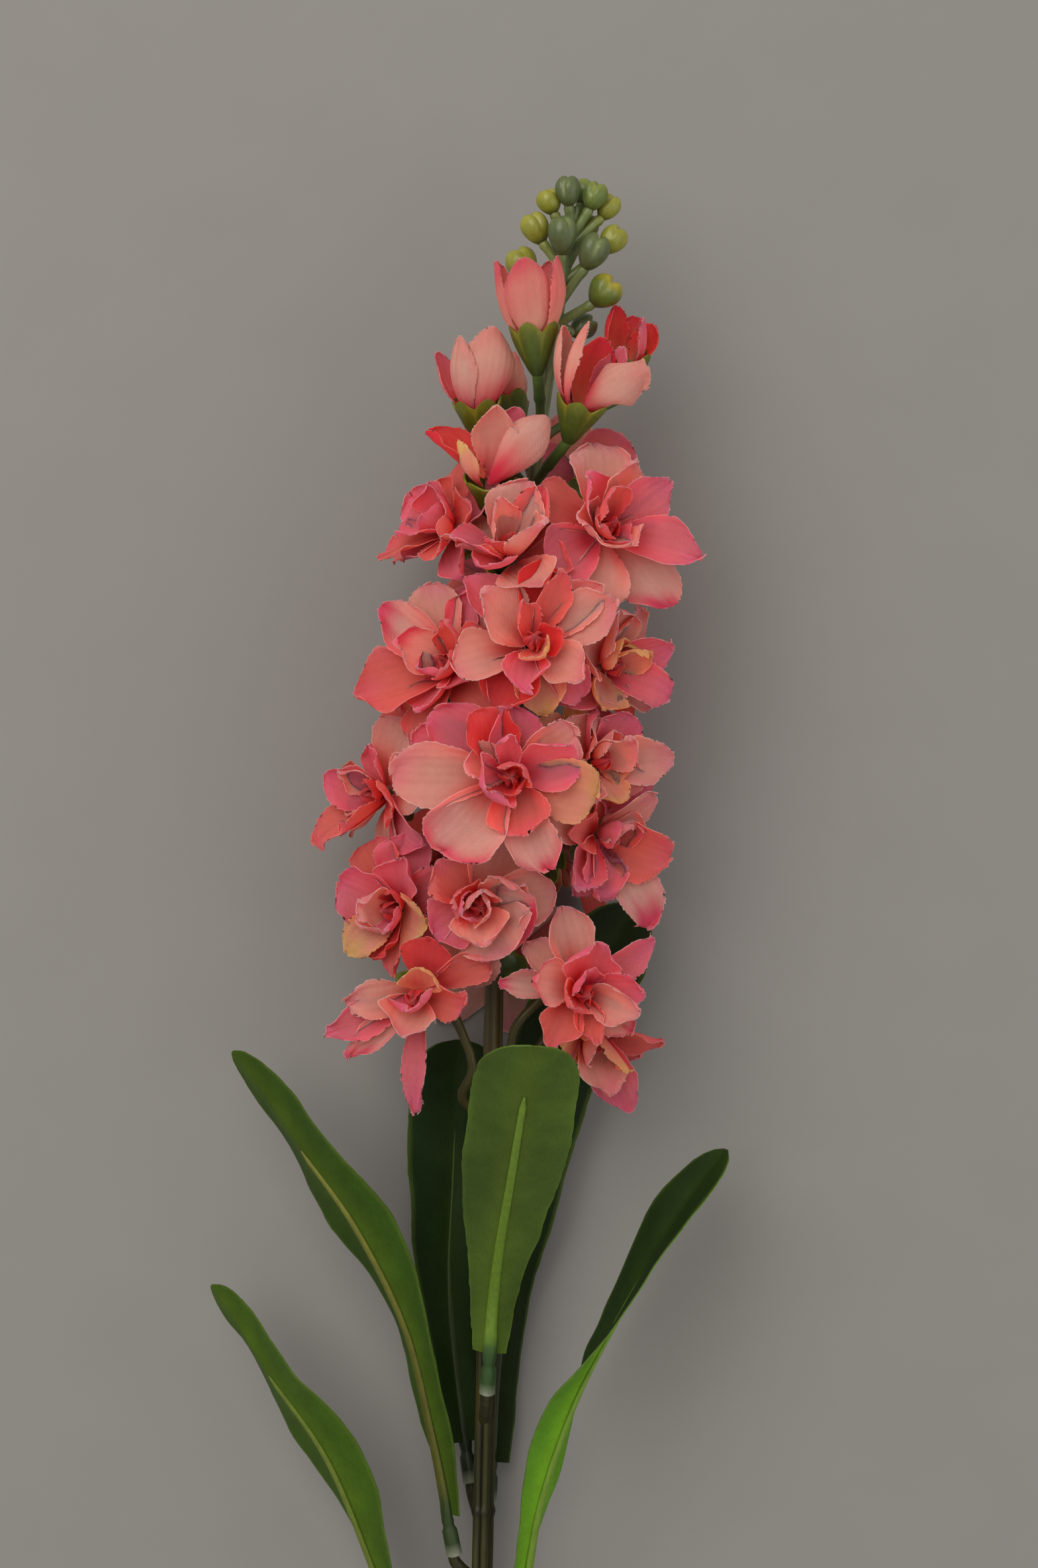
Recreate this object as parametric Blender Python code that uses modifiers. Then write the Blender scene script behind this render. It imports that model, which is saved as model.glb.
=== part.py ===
"""Artificial stock flower lying on a table: moulded stem, fabric blooms, buds and leaves.

The plant is modelled in its own frame, in millimetres: X to the right, Y up the stem from the
cut end, Z towards the viewer. An empty then lays it down, so that it rests on the cut end of
the stem and on the petals at the back of the spike.
"""
from math import atan2, cos, exp, pi, radians, sin
from random import Random

import bmesh
import bpy
from mathutils import Matrix, Vector

MM = 0.001

# Lying pose: the stem rises from its cut end to the spike, which its back blooms carry.
STEM_RADIUS = 3.3
STEM_TOP_RADIUS = 3.1
LIE_ANGLE = radians(4.7)
TABLE_UP = Vector((0.0, sin(LIE_ANGLE), cos(LIE_ANGLE)))

# Stem and spike axis.
STEM_FOOT_X = -6.4
STEM_LEAN = 0.0205
SPIKE_FOOT = 316.0
SPIKE_BEND = 2600.0
STEM_END = 270.0
RACEME_END = 505.0
SPRAY_END = 541.0
NODE_GAP = 0.3
STRANDS = 5
STRAND_GROOVE = 0.16

# Petals and leaves, the cup and sepals of a calyx, and the cone that the petals are rooted in.
PETAL_THICK = 0.8
LEAF_THICK = 0.8
NARROW_PETAL = 9.5
CUP_FLOOR = -3.6
CUP_FOOT = -9.0
CUP_FOOT_RADIUS = 1.2
CUP_RIM_RADIUS = 5.0
CUP_FLOOR_RADIUS = 2.9
CUP_WALL = 0.9
STAR_POINTS = 10
SEPAL_OUT = 8.0
SEPAL_EDGE = 0.7
OPEN_NOTCH = 0.8
TOUCH_HEIGHT = 0.6
SOFT_ANGLE = radians(40.0)
RECEPTACLE_RADIUS = 3.4
RECEPTACLE_IN_CUP = 2.6
RECEPTACLE_TOP = 1.4
RECEPTACLE_HEIGHT = 6.8
RECEPTACLE_FOOT = 3.2

# Petal kinds: bend along the petal, roll across it, the root's place out and up, and the
# places of the rows of points along it.
PETAL_KINDS = {
    "outer": (0.22, 0.35, 1.6, -0.9, (0.0, 0.4, 0.82, 1.0)),
    "middle": (0.20, 0.60, 1.2, 0.9, (0.0, 0.65, 1.0)),
    "inner": (-0.15, 1.00, 0.7, 2.2, (0.0, 0.65, 1.0)),
    "bud": (-0.70, 0.95, 1.3, -0.4, (0.0, 0.4, 0.8, 1.0)),
}
PETAL_TWIST = 0.2
PETAL_OUTLINE = ((0.0, 0.14), (0.4, 0.84), (0.65, 1.0), (0.82, 0.86), (1.0, 0.0))

# Blooms that face the viewer: heart, facing, slope of the calyx, then each petal's kind, the
# way from the heart to its tip (right, up, near) and its width.
BLOOMS = {
    "bloom_01": ((-11, 448, 5), (-0.75, 0.4, 0.5), 0.0, (
        ("outer", (-13, 10, -3), 17), ("outer", (-21, -9, 0), 14), ("outer", (-16, -2, 5), 14),
        ("middle", (-4, 12, 6), 12), ("inner", (-8, 4, 9), 9))),
    "bloom_02": ((5, 438, 22), (0.0, 0.75, 0.66), 0.3, (
        ("outer", (4, 24, 1), 20), ("outer", (12, 20, 3), 14), ("outer", (-16, 5, 10), 17),
        ("middle", (9, 9, 15), 16), ("middle", (-4, 16, 9), 12), ("outer", (14, 17, -3), 14))),
    "bloom_03": ((31, 446, 16), (0.4, 0.3, 0.86), 0.0, (
        ("outer", (27, -7, 2), 18), ("outer", (19, -25, -2), 19), ("outer", (19, 14, 0), 16),
        ("outer", (-2, 27, -3), 21), ("middle", (8, 20, 4), 15), ("middle", (-4, 15, 11), 15),
        ("middle", (-7, 4, 14), 14), ("middle", (8, -5, 14), 15), ("inner", (3, 12, 13), 13))),
    "bloom_04": ((-11, 407, 18), (-0.5, 0.4, 0.77), 0.0, (
        ("outer", (-20, 18, -3), 16), ("outer", (-27, -8, -2), 23), ("outer", (-7, 26, -6), 17),
        ("middle", (-16, 9, 7), 14), ("middle", (4, 23, 1), 11), ("middle", (4, -3, 15), 14),
        ("inner", (-2, 13, 10), 10))),
    "bloom_05": ((11, 413, 30), (0.1, 0.3, 0.95), 0.0, (
        ("outer", (-21, 23, -3), 15), ("outer", (3, 28, -3), 15), ("outer", (25, 13, 1), 16),
        ("outer", (17, -16, -1), 14), ("outer", (3, -20, 4), 16), ("middle", (-14, 14, 8), 17),
        ("middle", (9, 21, 8), 9), ("middle", (20, 19, 2), 12), ("inner", (-3, 12, 10), 9))),
    "bloom_06": ((30, 408, 12), (0.75, 0.1, 0.65), 0.0, (
        ("outer", (12, 17, -3), 14), ("outer", (21, 6, -1), 14), ("outer", (21, -8, 1), 13),
        ("outer", (3, -11, 6), 14), ("middle", (6, 16, 9), 19), ("middle", (14, 5, 8), 12))),
    "bloom_07": ((5, 377, 34), (0.02, -0.02, 1.0), 0.0, (
        ("outer", (-35, 1, 1), 19), ("outer", (-20, -26, 2), 25), ("outer", (10, -30, 2), 17),
        ("outer", (28, -6, 2), 19), ("outer", (20, 12, 2), 17), ("outer", (-24, 24, -4), 17),
        ("outer", (-30, 14, -2), 15), ("middle", (-9, 18, 8), 15), ("middle", (1, 20, 5), 14),
        ("middle", (18, 7, 7), 16), ("middle", (4, -17, 7), 16), ("inner", (-1, 12, 13), 7),
        ("inner", (-8, -4, 12), 15))),
    "bloom_08": ((-30, 372, 4), (-0.85, 0.0, 0.52), 0.0, (
        ("outer", (-18, 5, 0), 16), ("outer", (-21, -14, 0), 15), ("outer", (1, 18, -2), 12),
        ("outer", (2, -19, 2), 14), ("middle", (-13, -11, 7), 13), ("middle", (-5, 14, 6), 10),
        ("inner", (-6, 4, 9), 9))),
    "bloom_09": ((27, 381, 14), (0.7, 0.15, 0.7), 0.0, (
        ("outer", (12, 15, 2), 15), ("outer", (24, 1, 0), 15), ("outer", (9, -13, 7), 12),
        ("outer", (2, 12, 9), 13), ("middle", (13, 5, 9), 12))),
    "bloom_10": ((29, 361, 12), (0.7, -0.25, 0.66), 0.0, (
        ("outer", (17, 12, -2), 14), ("outer", (21, -7, 1), 20), ("outer", (17, -27, -4), 15),
        ("outer", (1, -18, 6), 17), ("middle", (10, 3, 10), 12), ("outer", (-5, -18, -1), 12))),
    "bloom_11": ((-26, 340, 9), (-0.6, -0.1, 0.8), 0.0, (
        ("outer", (-18, 7, -1), 20), ("outer", (-16, -13, 1), 13), ("outer", (15, 8, 9), 15),
        ("outer", (20, -12, 9), 10), ("outer", (-2, -20, 5), 9), ("middle", (-12, 1, 8), 12),
        ("inner", (-3, 5, 10), 9))),
    "bloom_12": ((-5, 342, 22), (0.2, -0.2, 0.95), 0.0, (
        ("outer", (23, 3, 0), 16), ("outer", (17, -4, 4), 18), ("outer", (11, -13, 6), 18),
        ("outer", (-11, 10, 4), 15))),
    "bloom_13": ((-20, 317, 24), (-0.25, -0.3, 0.92), 0.0, (
        ("outer", (3, 17, 0), 16), ("outer", (-26, -12, 0), 12), ("outer", (23, 13, -1), 12),
        ("outer", (-20, -18, -1), 10), ("outer", (-2, -34, -3), 8), ("outer", (-21, -3, 4), 12),
        ("middle", (-6, -12, 8), 17), ("middle", (12, -3, 8), 12), ("inner", (0, 7, 10), 13),
        ("inner", (-3, -5, 11), 14))),
    "bloom_14": ((24, 317, 20), (0.3, -0.15, 0.94), 0.0, (
        ("outer", (-6, 26, -1), 17), ("outer", (-17, 15, 2), 11), ("outer", (-25, 4, 6), 9),
        ("outer", (21, 14, -1), 12), ("outer", (15, -12, 3), 12), ("middle", (5, 14, 10), 16),
        ("middle", (18, 0, 7), 11), ("middle", (16, -5, 10), 13), ("inner", (6, -14, 8), 9))),
    "bloom_15": ((27, 306, 6), (0.4, -0.75, 0.53), 0.0, (
        ("outer", (21, -4, 2), 15), ("outer", (12, -24, -2), 14), ("outer", (-7, -9, 1), 9),
        ("middle", (6, -19, 6), 15), ("middle", (11, -12, 9), 11))),
}

# Buds in colour: the same rows, with a steep calyx.
BUDS = {
    "bud_01": ((12, 500, 14), (-0.08, 1.0, 0.05), 1.4, (
        ("bud", (-9, 23, -2), 10), ("bud", (-3, 22, 7), 11), ("bud", (7, 23, 3), 9),
        ("bud", (2, 22, -6), 11))),
    "bud_02": ((38, 495, -3), (0.1, 0.95, 0.3), 1.4, (
        ("bud", (-4, 17, 1), 10), ("bud", (7, 13, -2), 9), ("bud", (3, 14, 5), 7))),
    "bud_03": ((-4, 480, 9), (-0.12, 0.95, 0.25), 1.4, (
        ("bud", (-10, 19, -1), 9), ("bud", (-3, 21, 7), 10), ("bud", (6, 25, 3), 14))),
    "bud_04": ((24, 480, 18), (0.3, 0.9, 0.3), 1.2, (
        ("bud", (-3, 24, 1), 10), ("bud", (3, 24, 6), 10), ("bud", (18, 11, 7), 17),
        ("bud", (11, 19, -3), 12))),
    "bud_05": ((-1, 460, 17), (0.05, 0.9, 0.42), 0.8, (
        ("middle", (-17, 15, 0), 13), ("middle", (-8, 10, 9), 10), ("bud", (2, 21, 6), 14),
        ("bud", (7, 22, -3), 12), ("middle", (18, 19, 2), 13))),
    "bud_06": ((4, 483, -12), (-0.25, 0.85, -0.45), 1.2, (
        ("bud", (2, 18, -2), 11), ("bud", (-7, 15, -3), 11), ("bud", (-3, 13, -11), 12))),
}

# Blooms at the back, by a rule: height on the spike and turn from the viewer to the left.
BACK_BLOOMS = ((324, 182), (346, 132), (356, -128), (380, 178), (401, 124), (411, -126),
               (434, 176), (458, -138))
BACK_HEART_OUT = 22.0
BACK_LIFT = 0.3
BACK_LAYERS = (("outer", 5, 25.0, 5.0, 20.0), ("middle", 2, 15.0, 10.0, 14.0))

# Room for each bloom: its reach and how far before its heart the room is centred, which share
# out the space between neighbours, and the core round the axis that is left to the stalks.
BLOOM_REACH = 26.0
BLOOM_CENTRE = 7.0
BUD_REACH = 13.0
BUD_CENTRE = 10.0
OWN_REACH = {"bloom_01": 22.0, "bloom_02": 20.0, "bud_03": 15.0, "bud_05": 18.0}
NEIGHBOUR_REACH = 95.0
CELL_MARGIN = 0.75
CELL_BAND = 2.5
CORE_LOW = 12.5
CORE_HIGH = 4.5
CORE_TAPER_FOOT = 430.0
CORE_TAPER_LENGTH = 60.0
CORE_BAND = 2.0
EASING_ROUNDS = 5
LEAF_FENCES = {
    # The fifth leaf passes between the blooms at the right and those at the back.
    "bloom_10": ((Vector((30, 340, -8)), Vector((0.0, 0.0, 1.0))),),
    "bloom_14": ((Vector((30, 310, -7)), Vector((0.0, 0.0, 1.0))),),
    "bloom_15": ((Vector((30, 310, -7)), Vector((0.0, 0.0, 1.0))),),
    "bloom_16": ((Vector((24, 310, -19)), Vector((-0.35, 0.0, -1.0)).normalized()),),
    "bloom_18": ((Vector((30, 340, -19)), Vector((0.0, 0.35, -1.0)).normalized()),),
}

# Lowest that a petal goes over the calyx: level near the heart, then up the cup of a bud or
# down past the sepals of an open bloom.
SHEET_FLOOR = -2.5
FLOOR_BAND = 1.5
BUD_LEVEL = 2.6
BUD_RIM = 9.0
OPEN_LEVEL = 10.0
OPEN_DROOP = 0.8

# Flower stalks: radius, the height that they gain on the way out, more so near the tip, how far
# under the heart they end, and how far up the axis and out their middle lies.
STALK_RADIUS = 1.3
STALK_RISE = 20.0
TIP_STALK_RISE = 24.0
TIP_STALKS_FROM = 470.0
LOWEST_STALK = 12.0
STALK_DEPTH = 8.5
STALK_ROOT = 6.0
STALK_STRAIGHT = 4.0
STALK_UP = 0.55
STALK_OUT = 0.12
STALK_PATHS = {
    "bloom_13": ((-5.0, 280.0, 1.0), (-9.0, 286.0, 7.0), (-6.0, 297.0, 13.0)),
    "bloom_14": ((3.0, 286.0, 2.0), (5.0, 300.0, 6.0), (8.0, 308.0, 9.0)),
    "bloom_15": ((3.5, 279.0, 0.0), (8.0, 292.0, -3.0), (16.0, 303.0, -5.0)),
}

# Green buds of the tip: swell from foot to tip and the cleft between their two lobes, the way
# they lean, then the place of each bud's middle, its length and width.
TIP_STALK_RADIUS = 1.1
TIP_AXIS_RADIUS = 1.5
TIP_STALK_DROP = 6.0
TIP_LEAN = 0.75
TIP_UPWARD = 4.0
TIP_SWELL = 0.22
TIP_GIRTH = 0.82
TIP_CLEFT = 0.16
TIP_CLEFT_WIDTH = 0.4
TIP_FOOT = 0.42
TIP_BUDS = (
    (16.2, 542.0, 2.0, 7.5, 7.0), (21.5, 544.5, 5.0, 9.0, 7.0), (26.0, 545.5, -3.0, 8.0, 6.5),
    (29.0, 543.5, 2.5, 8.5, 7.0), (33.0, 541.0, -1.5, 8.0, 6.5), (12.3, 534.5, 1.0, 9.5, 8.0),
    (19.8, 531.5, 6.5, 11.5, 8.0), (26.6, 535.5, -4.5, 8.5, 7.0), (34.2, 531.5, -1.0, 9.0, 7.5),
    (28.5, 527.0, 5.5, 11.0, 8.5), (8.5, 525.0, -4.0, 10.0, 9.0),
    (31.7, 516.0, 3.0, 10.0, 9.5), (25.7, 507.0, -5.0, 9.0, 7.0),
)

# Leaves: width, then points up the midrib, each with the way that the upper face looks.
LEAVES = {
    "leaf_1": (27.0, (((-17, 97, 3), (0.75, 0.55, -0.4)), ((-24, 125, 5), (0.7, 0.55, -0.45)),
                      ((-34, 153, 8), (0.7, 0.5, -0.5)), ((-47, 184, 10), (0.65, 0.5, -0.55)),
                      ((-65, 209, 8), (0.6, 0.6, -0.55)), ((-81, 231, 2), (0.6, 0.6, -0.5)))),
    "leaf_2": (27.0, (((-12, 166, 4), (0.8, 0.3, -0.5)), ((-17, 191, 7), (0.8, 0.25, -0.55)),
                      ((-24, 220, 11), (0.75, 0.3, -0.6)), ((-38, 249, 13), (0.65, 0.45, -0.6)),
                      ((-54, 271, 10), (0.6, 0.5, -0.6)), ((-75, 298, 2), (0.6, 0.6, -0.5)))),
    "leaf_3": (28.0, (((-8, 184, -9), (0.2, -0.1, 1.0)), ((-11, 206, -13), (0.2, -0.1, 1.0)),
                      ((-13, 232, -15), (0.15, 0.0, 1.0)), ((-12, 258, -17), (0.15, 0.1, 1.0)),
                      ((-11, 281, -17), (0.1, 0.1, 1.0)), ((-10, 300, -18), (0.1, 0.2, 1.0)))),
    "leaf_4": (28.0, (((-1, 213, 9), (0.0, 0.2, -1.0)), ((0, 228, 15), (0.05, 0.4, -0.9)),
                      ((2, 247, 33), (0.05, 0.6, -0.8)), ((5, 267, 57), (0.1, 0.7, -0.7)),
                      ((8, 288, 83), (0.1, 0.7, -0.7)), ((11, 308, 105), (0.1, 0.65, -0.75)))),
    "leaf_5": (27.0, (((0, 178, -9), (0.4, -0.1, 0.9)), ((2, 208, -13), (0.4, 0.0, 0.9)),
                      ((6, 243, -14), (0.3, 0.0, 0.95)), ((13, 278, -13), (0.15, 0.1, 1.0)),
                      ((24, 310, -13), (0.0, 0.1, 1.0)), ((42, 339, -14), (-0.1, 0.2, 1.0)))),
    "leaf_6": (26.0, (((4, 116, 4), (-0.85, 0.2, -0.5)), ((9, 150, 8), (-0.85, 0.25, -0.5)),
                      ((13, 172, 11), (-0.8, 0.3, -0.5)), ((22, 199, 14), (-0.8, 0.4, -0.35)),
                      ((33, 221, 14), (-0.75, 0.5, 0.0)), ((49, 247, 9), (-0.65, 0.6, 0.4)),
                      ((67, 270, 2), (-0.6, 0.6, 0.5)))),
}
LEAF_OUTLINE = ((0.0, 0.34), (0.3, 0.54), (0.45, 0.78), (0.65, 0.98), (0.85, 0.98), (0.94, 0.75),
                (1.0, 0.2))
LEAF_STATIONS = 11
LEAF_FOLD = 0.16
LEAF_WAVES = 2.5
LEAF_WAVE = 0.15
NARROWEST_HALF = 1.2
RIB_RADIUS = 0.9
RIB_TAPER = 0.45
RIB_SINK = LEAF_THICK / 2 + NODE_GAP + RIB_RADIUS
SLEEVE_RADIUS = 2.3
SLEEVE_LENGTH = 11.0
SLEEVE_NECK = 2.5
SLEEVE_GAP = 1.0
PEG_RADIUS = 1.7
PEG_STRAIGHT = 2.5
PEG_RISE = 10.0

# Small rings on the stem.
STEM_RINGS = (34.0, 104.0, 166.0, 222.0)
RING_SWELL = 1.14
RING_HALF = 1.6

COLOURS = {
    "olive": ((0.10, 0.085, 0.025), 0.42),
    "calyx": ((0.055, 0.105, 0.02), 0.45),
    "tip": ((0.22, 0.30, 0.14), 0.32),
    "petal": ((0.78, 0.24, 0.22), 0.75),
    "bud": ((0.80, 0.30, 0.28), 0.75),
    "leaf": ((0.05, 0.14, 0.04), 0.6),
    "rib": ((0.19, 0.26, 0.03), 0.4),
}


def empty_file():
    for thing in list(bpy.data.objects):
        bpy.data.objects.remove(thing, do_unlink=True)


def new_collection(name):
    group = bpy.data.collections.new(name)
    bpy.context.scene.collection.children.link(group)
    return group


empty_file()
PART = new_collection("stock_flower")


def material(name):
    """One plastic or fabric finish."""
    colour, roughness = COLOURS[name]
    finish = bpy.data.materials.new(name)
    finish.use_nodes = True
    shader = finish.node_tree.nodes["Principled BSDF"]
    shader.inputs["Base Color"].default_value = (*colour, 1.0)
    shader.inputs["Roughness"].default_value = roughness
    shader.inputs["Metallic"].default_value = 0.0
    finish.diffuse_color = (*colour, 1.0)
    return finish


def put(name, mesh):
    thing = bpy.data.objects.new(name, mesh)
    PART.objects.link(thing)
    return thing


def discard(thing):
    data = thing.data
    bpy.data.objects.remove(thing, do_unlink=True)
    if data.users == 0:
        bpy.data.batch_remove([data])


def as_mesh(thing, weld=True):
    """The shape of an object with its modifiers applied, as a closed mesh of its own."""
    bpy.context.view_layer.update()
    graph = bpy.context.evaluated_depsgraph_get()
    mesh = bpy.data.meshes.new_from_object(thing.evaluated_get(graph))
    if not weld:
        return mesh
    shape = bmesh.new()
    shape.from_mesh(mesh)
    bmesh.ops.remove_doubles(shape, verts=shape.verts, dist=1e-7)
    bmesh.ops.recalc_face_normals(shape, faces=shape.faces)
    shape.to_mesh(mesh)
    shape.free()
    return mesh


def settle(thing):
    """Replace an object by a plain mesh object of its evaluated shape."""
    name = thing.name
    mesh = as_mesh(thing)
    discard(thing)
    return put(name, mesh)


def mesh_object(name, shape):
    mesh = bpy.data.meshes.new(name)
    shape.to_mesh(mesh)
    shape.free()
    return put(name, mesh)


def fuse(name, pieces, finish):
    """Join pieces that grow into one another in one closed body."""
    body = pieces[0]
    group = new_collection("joining")
    for piece in pieces[1:]:
        group.objects.link(piece)
        PART.objects.unlink(piece)
    # The exact solver leaves bodies that only touch, where many thin pieces meet.
    union = body.modifiers.new("union", "BOOLEAN")
    union.operation = "UNION"
    union.operand_type = "COLLECTION"
    union.collection = group
    union.solver = "MANIFOLD"
    mesh = as_mesh(body, weld=False)
    for piece in pieces:
        discard(piece)
    bpy.data.collections.remove(group)
    mesh.name = name
    mesh.materials.clear()
    mesh.materials.append(finish)
    whole = put(name, mesh)
    keep_largest(whole)
    soften(mesh)
    return whole


def soften(mesh):
    """Shade round surfaces smooth and keep edges sharp."""
    mesh.shade_smooth()
    mesh.set_sharp_from_angle(angle=SOFT_ANGLE)


def keep_largest(thing):
    """Drop scraps that a join leaves loose."""
    shape = bmesh.new()
    shape.from_mesh(thing.data)
    left = set(shape.verts)
    groups = []
    while left:
        front = [left.pop()]
        group = set(front)
        while front:
            vert = front.pop()
            for edge in vert.link_edges:
                other = edge.other_vert(vert)
                if other in left:
                    left.discard(other)
                    group.add(other)
                    front.append(other)
        groups.append(group)
    groups.sort(key=len, reverse=True)
    for group in groups[1:]:
        bmesh.ops.delete(shape, geom=list(group), context="VERTS")
    bmesh.ops.triangulate(shape, faces=shape.faces)
    shape.to_mesh(thing.data)
    shape.free()


def reading(table, place):
    """Read a table of (place, value) pairs, straight between its rows."""
    for (start, low), (end, high) in zip(table, table[1:]):
        if place <= end:
            return low + (high - low) * (place - start) / (end - start)
    return table[-1][1]


def axis_at(height):
    """The middle of the stem and spike at a height."""
    lean = STEM_FOOT_X + STEM_LEAN * height
    return Vector((lean + max(0.0, height - SPIKE_FOOT) ** 2 / SPIKE_BEND, height, 0.0))


def smooth(points, count):
    """Points spread along a smooth curve through a few given ones."""
    points = [Vector(point) for point in points]
    padded = [2 * points[0] - points[1], *points, 2 * points[-1] - points[-2]]
    spans = len(points) - 1
    result = []
    for index in range(count):
        place = index / (count - 1) * spans
        span = min(int(place), spans - 1)
        t = place - span
        a, b, c, d = padded[span:span + 4]
        result.append(0.5 * (2 * b + (c - a) * t + (2 * a - 5 * b + 4 * c - d) * t * t
                             + (3 * b - a - 3 * c + d) * t ** 3))
    return result


def tube(name, points, radii, resolution=1):
    """A round tube along points, with its own radius at each."""
    curve = bpy.data.curves.new(name, "CURVE")
    curve.dimensions = "3D"
    curve.bevel_depth = MM
    curve.bevel_resolution = resolution
    curve.use_fill_caps = True
    spline = curve.splines.new("POLY")
    spline.points.add(len(points) - 1)
    for knot, point, radius in zip(spline.points, points, radii):
        knot.co = (*(Vector(point) * MM), 1.0)
        knot.radius = radius
    return settle(put(name, curve))


def frame_of(direction):
    """A turn that takes +Z to a direction."""
    return Vector(direction).to_track_quat("Z", "Y").to_matrix().to_4x4()


def loft(name, rings, place):
    """A closed body through rings of the same count of points, moved to its place."""
    shape = bmesh.new()
    rows = [[shape.verts.new(place @ (Vector(point) * MM)) for point in ring] for ring in rings]
    count = len(rings[0])
    for low, high in zip(rows, rows[1:]):
        for i in range(count):
            j = (i + 1) % count
            shape.faces.new((low[i], low[j], high[j], high[i]))
    shape.faces.new(reversed(rows[0]))
    shape.faces.new(rows[-1])
    bmesh.ops.recalc_face_normals(shape, faces=shape.faces)
    return mesh_object(name, shape)


def placed(point, direction):
    """Where a piece that is made along +Z goes, in metres."""
    return Matrix.Translation(Vector(point) * MM) @ frame_of(direction)


def table_height(point):
    """Height of a point of the plant's frame above the table."""
    return point.dot(TABLE_UP) + STEM_RADIUS


def soft_floor(depth, band):
    """A depth that eases out above zero instead of crossing it."""
    return depth if depth >= band else band * exp((depth - band) / band)


class Bloom:
    """A bloom or bud: heart, facing, slope of its calyx and its petals."""

    def __init__(self, name, row, reach, centre):
        heart, facing, slope, petals = row
        self.name = name
        self.heart = Vector(heart)
        self.facing = Vector(facing).normalized()
        self.slope = slope
        self.petals = petals
        self.reach = OWN_REACH.get(name, reach)
        self.site = self.heart + self.facing * centre


def back_bloom_row(index, height, turn):
    """A bloom at the back: two layers of petals, each petal a little different."""
    chance = Random(index)
    angle = radians(turn)
    outward = Vector((-sin(angle), 0.0, cos(angle)))
    facing = (outward + Vector((0.0, BACK_LIFT, 0.0))).normalized()
    heart = axis_at(height) + outward * BACK_HEART_OUT
    side = facing.cross(Vector((0.0, 1.0, 0.0))).normalized()
    up = side.cross(facing)
    petals = []
    for layer, count, reach, near, width in BACK_LAYERS:
        start = chance.uniform(0.0, 2 * pi)
        for i in range(count):
            around = start + 2 * pi * i / count + chance.uniform(-0.2, 0.2)
            long = reach * chance.uniform(0.9, 1.1)
            tip = long * (side * cos(around) + up * sin(around)) + facing * near
            petals.append((layer, tuple(tip), width * chance.uniform(0.9, 1.1)))
    return heart, facing, 0.0, petals


def all_blooms():
    blooms = [Bloom(name, row, BLOOM_REACH, BLOOM_CENTRE) for name, row in BLOOMS.items()]
    for index, (height, turn) in enumerate(BACK_BLOOMS):
        number = len(BLOOMS) + index + 1
        row = back_bloom_row(index, height, turn)
        blooms.append(Bloom(f"bloom_{number:02d}", row, BLOOM_REACH, BLOOM_CENTRE))
    blooms.extend(Bloom(name, row, BUD_REACH, BUD_CENTRE) for name, row in BUDS.items())
    return blooms


def cell_walls(bloom, blooms):
    """Planes that part a bloom's room from its neighbours': normal inwards, and distance."""
    walls = []
    for other in blooms:
        if other is bloom:
            continue
        way = bloom.site - other.site
        apart = way.length
        if apart > NEIGHBOUR_REACH:
            continue
        normal = way / apart
        share = (apart ** 2 + other.reach ** 2 - bloom.reach ** 2) / (2 * apart)
        walls.append((normal, normal.dot(other.site + normal * share)))
    return walls


def core_radius(height):
    """Radius round the axis that is left to the flower stalks."""
    share = min(1.0, max(0.0, (height - CORE_TAPER_FOOT) / CORE_TAPER_LENGTH))
    return CORE_LOW + (CORE_HIGH - CORE_LOW) * share


def above_calyx(point, bloom):
    """Raise a point of a petal over its own calyx."""
    offset = point - bloom.heart
    lift = offset.dot(bloom.facing)
    radius = (offset - bloom.facing * lift).length
    if bloom.slope > 0.0:
        low = SHEET_FLOOR + bloom.slope * max(0.0, min(radius, BUD_RIM) - BUD_LEVEL)
    else:
        low = SHEET_FLOOR - OPEN_DROOP * max(0.0, radius - OPEN_LEVEL)
    return point + bloom.facing * (soft_floor(lift - low, FLOOR_BAND) + low - lift)


def outside_core(point):
    """Move a point of a petal out of the core round the axis."""
    away = point - axis_at(point.y)
    away.y = 0.0
    reach = away.length
    core = core_radius(point.y)
    if reach >= core + CORE_BAND:
        return point
    return point + away.normalized() * (soft_floor(reach - core, CORE_BAND) + core - reach)


def kept_clear(point, bloom, walls):
    """Ease a point of a petal into its bloom's own room, above the table."""
    for _ in range(EASING_ROUNDS):
        point = above_calyx(point, bloom)
        for normal, distance in walls:
            depth = normal.dot(point) - distance - CELL_MARGIN
            point = point + normal * (soft_floor(depth, CELL_BAND) - depth)
        for start, normal in LEAF_FENCES.get(bloom.name, ()):
            depth = normal.dot(point - start)
            point = point + normal * (soft_floor(depth, CELL_BAND) - depth)
        point = outside_core(point)
    return point + TABLE_UP * table_lift(point)


def table_lift(point):
    depth = table_height(point) - PETAL_THICK / 2
    return soft_floor(depth, CELL_BAND) - depth


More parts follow.
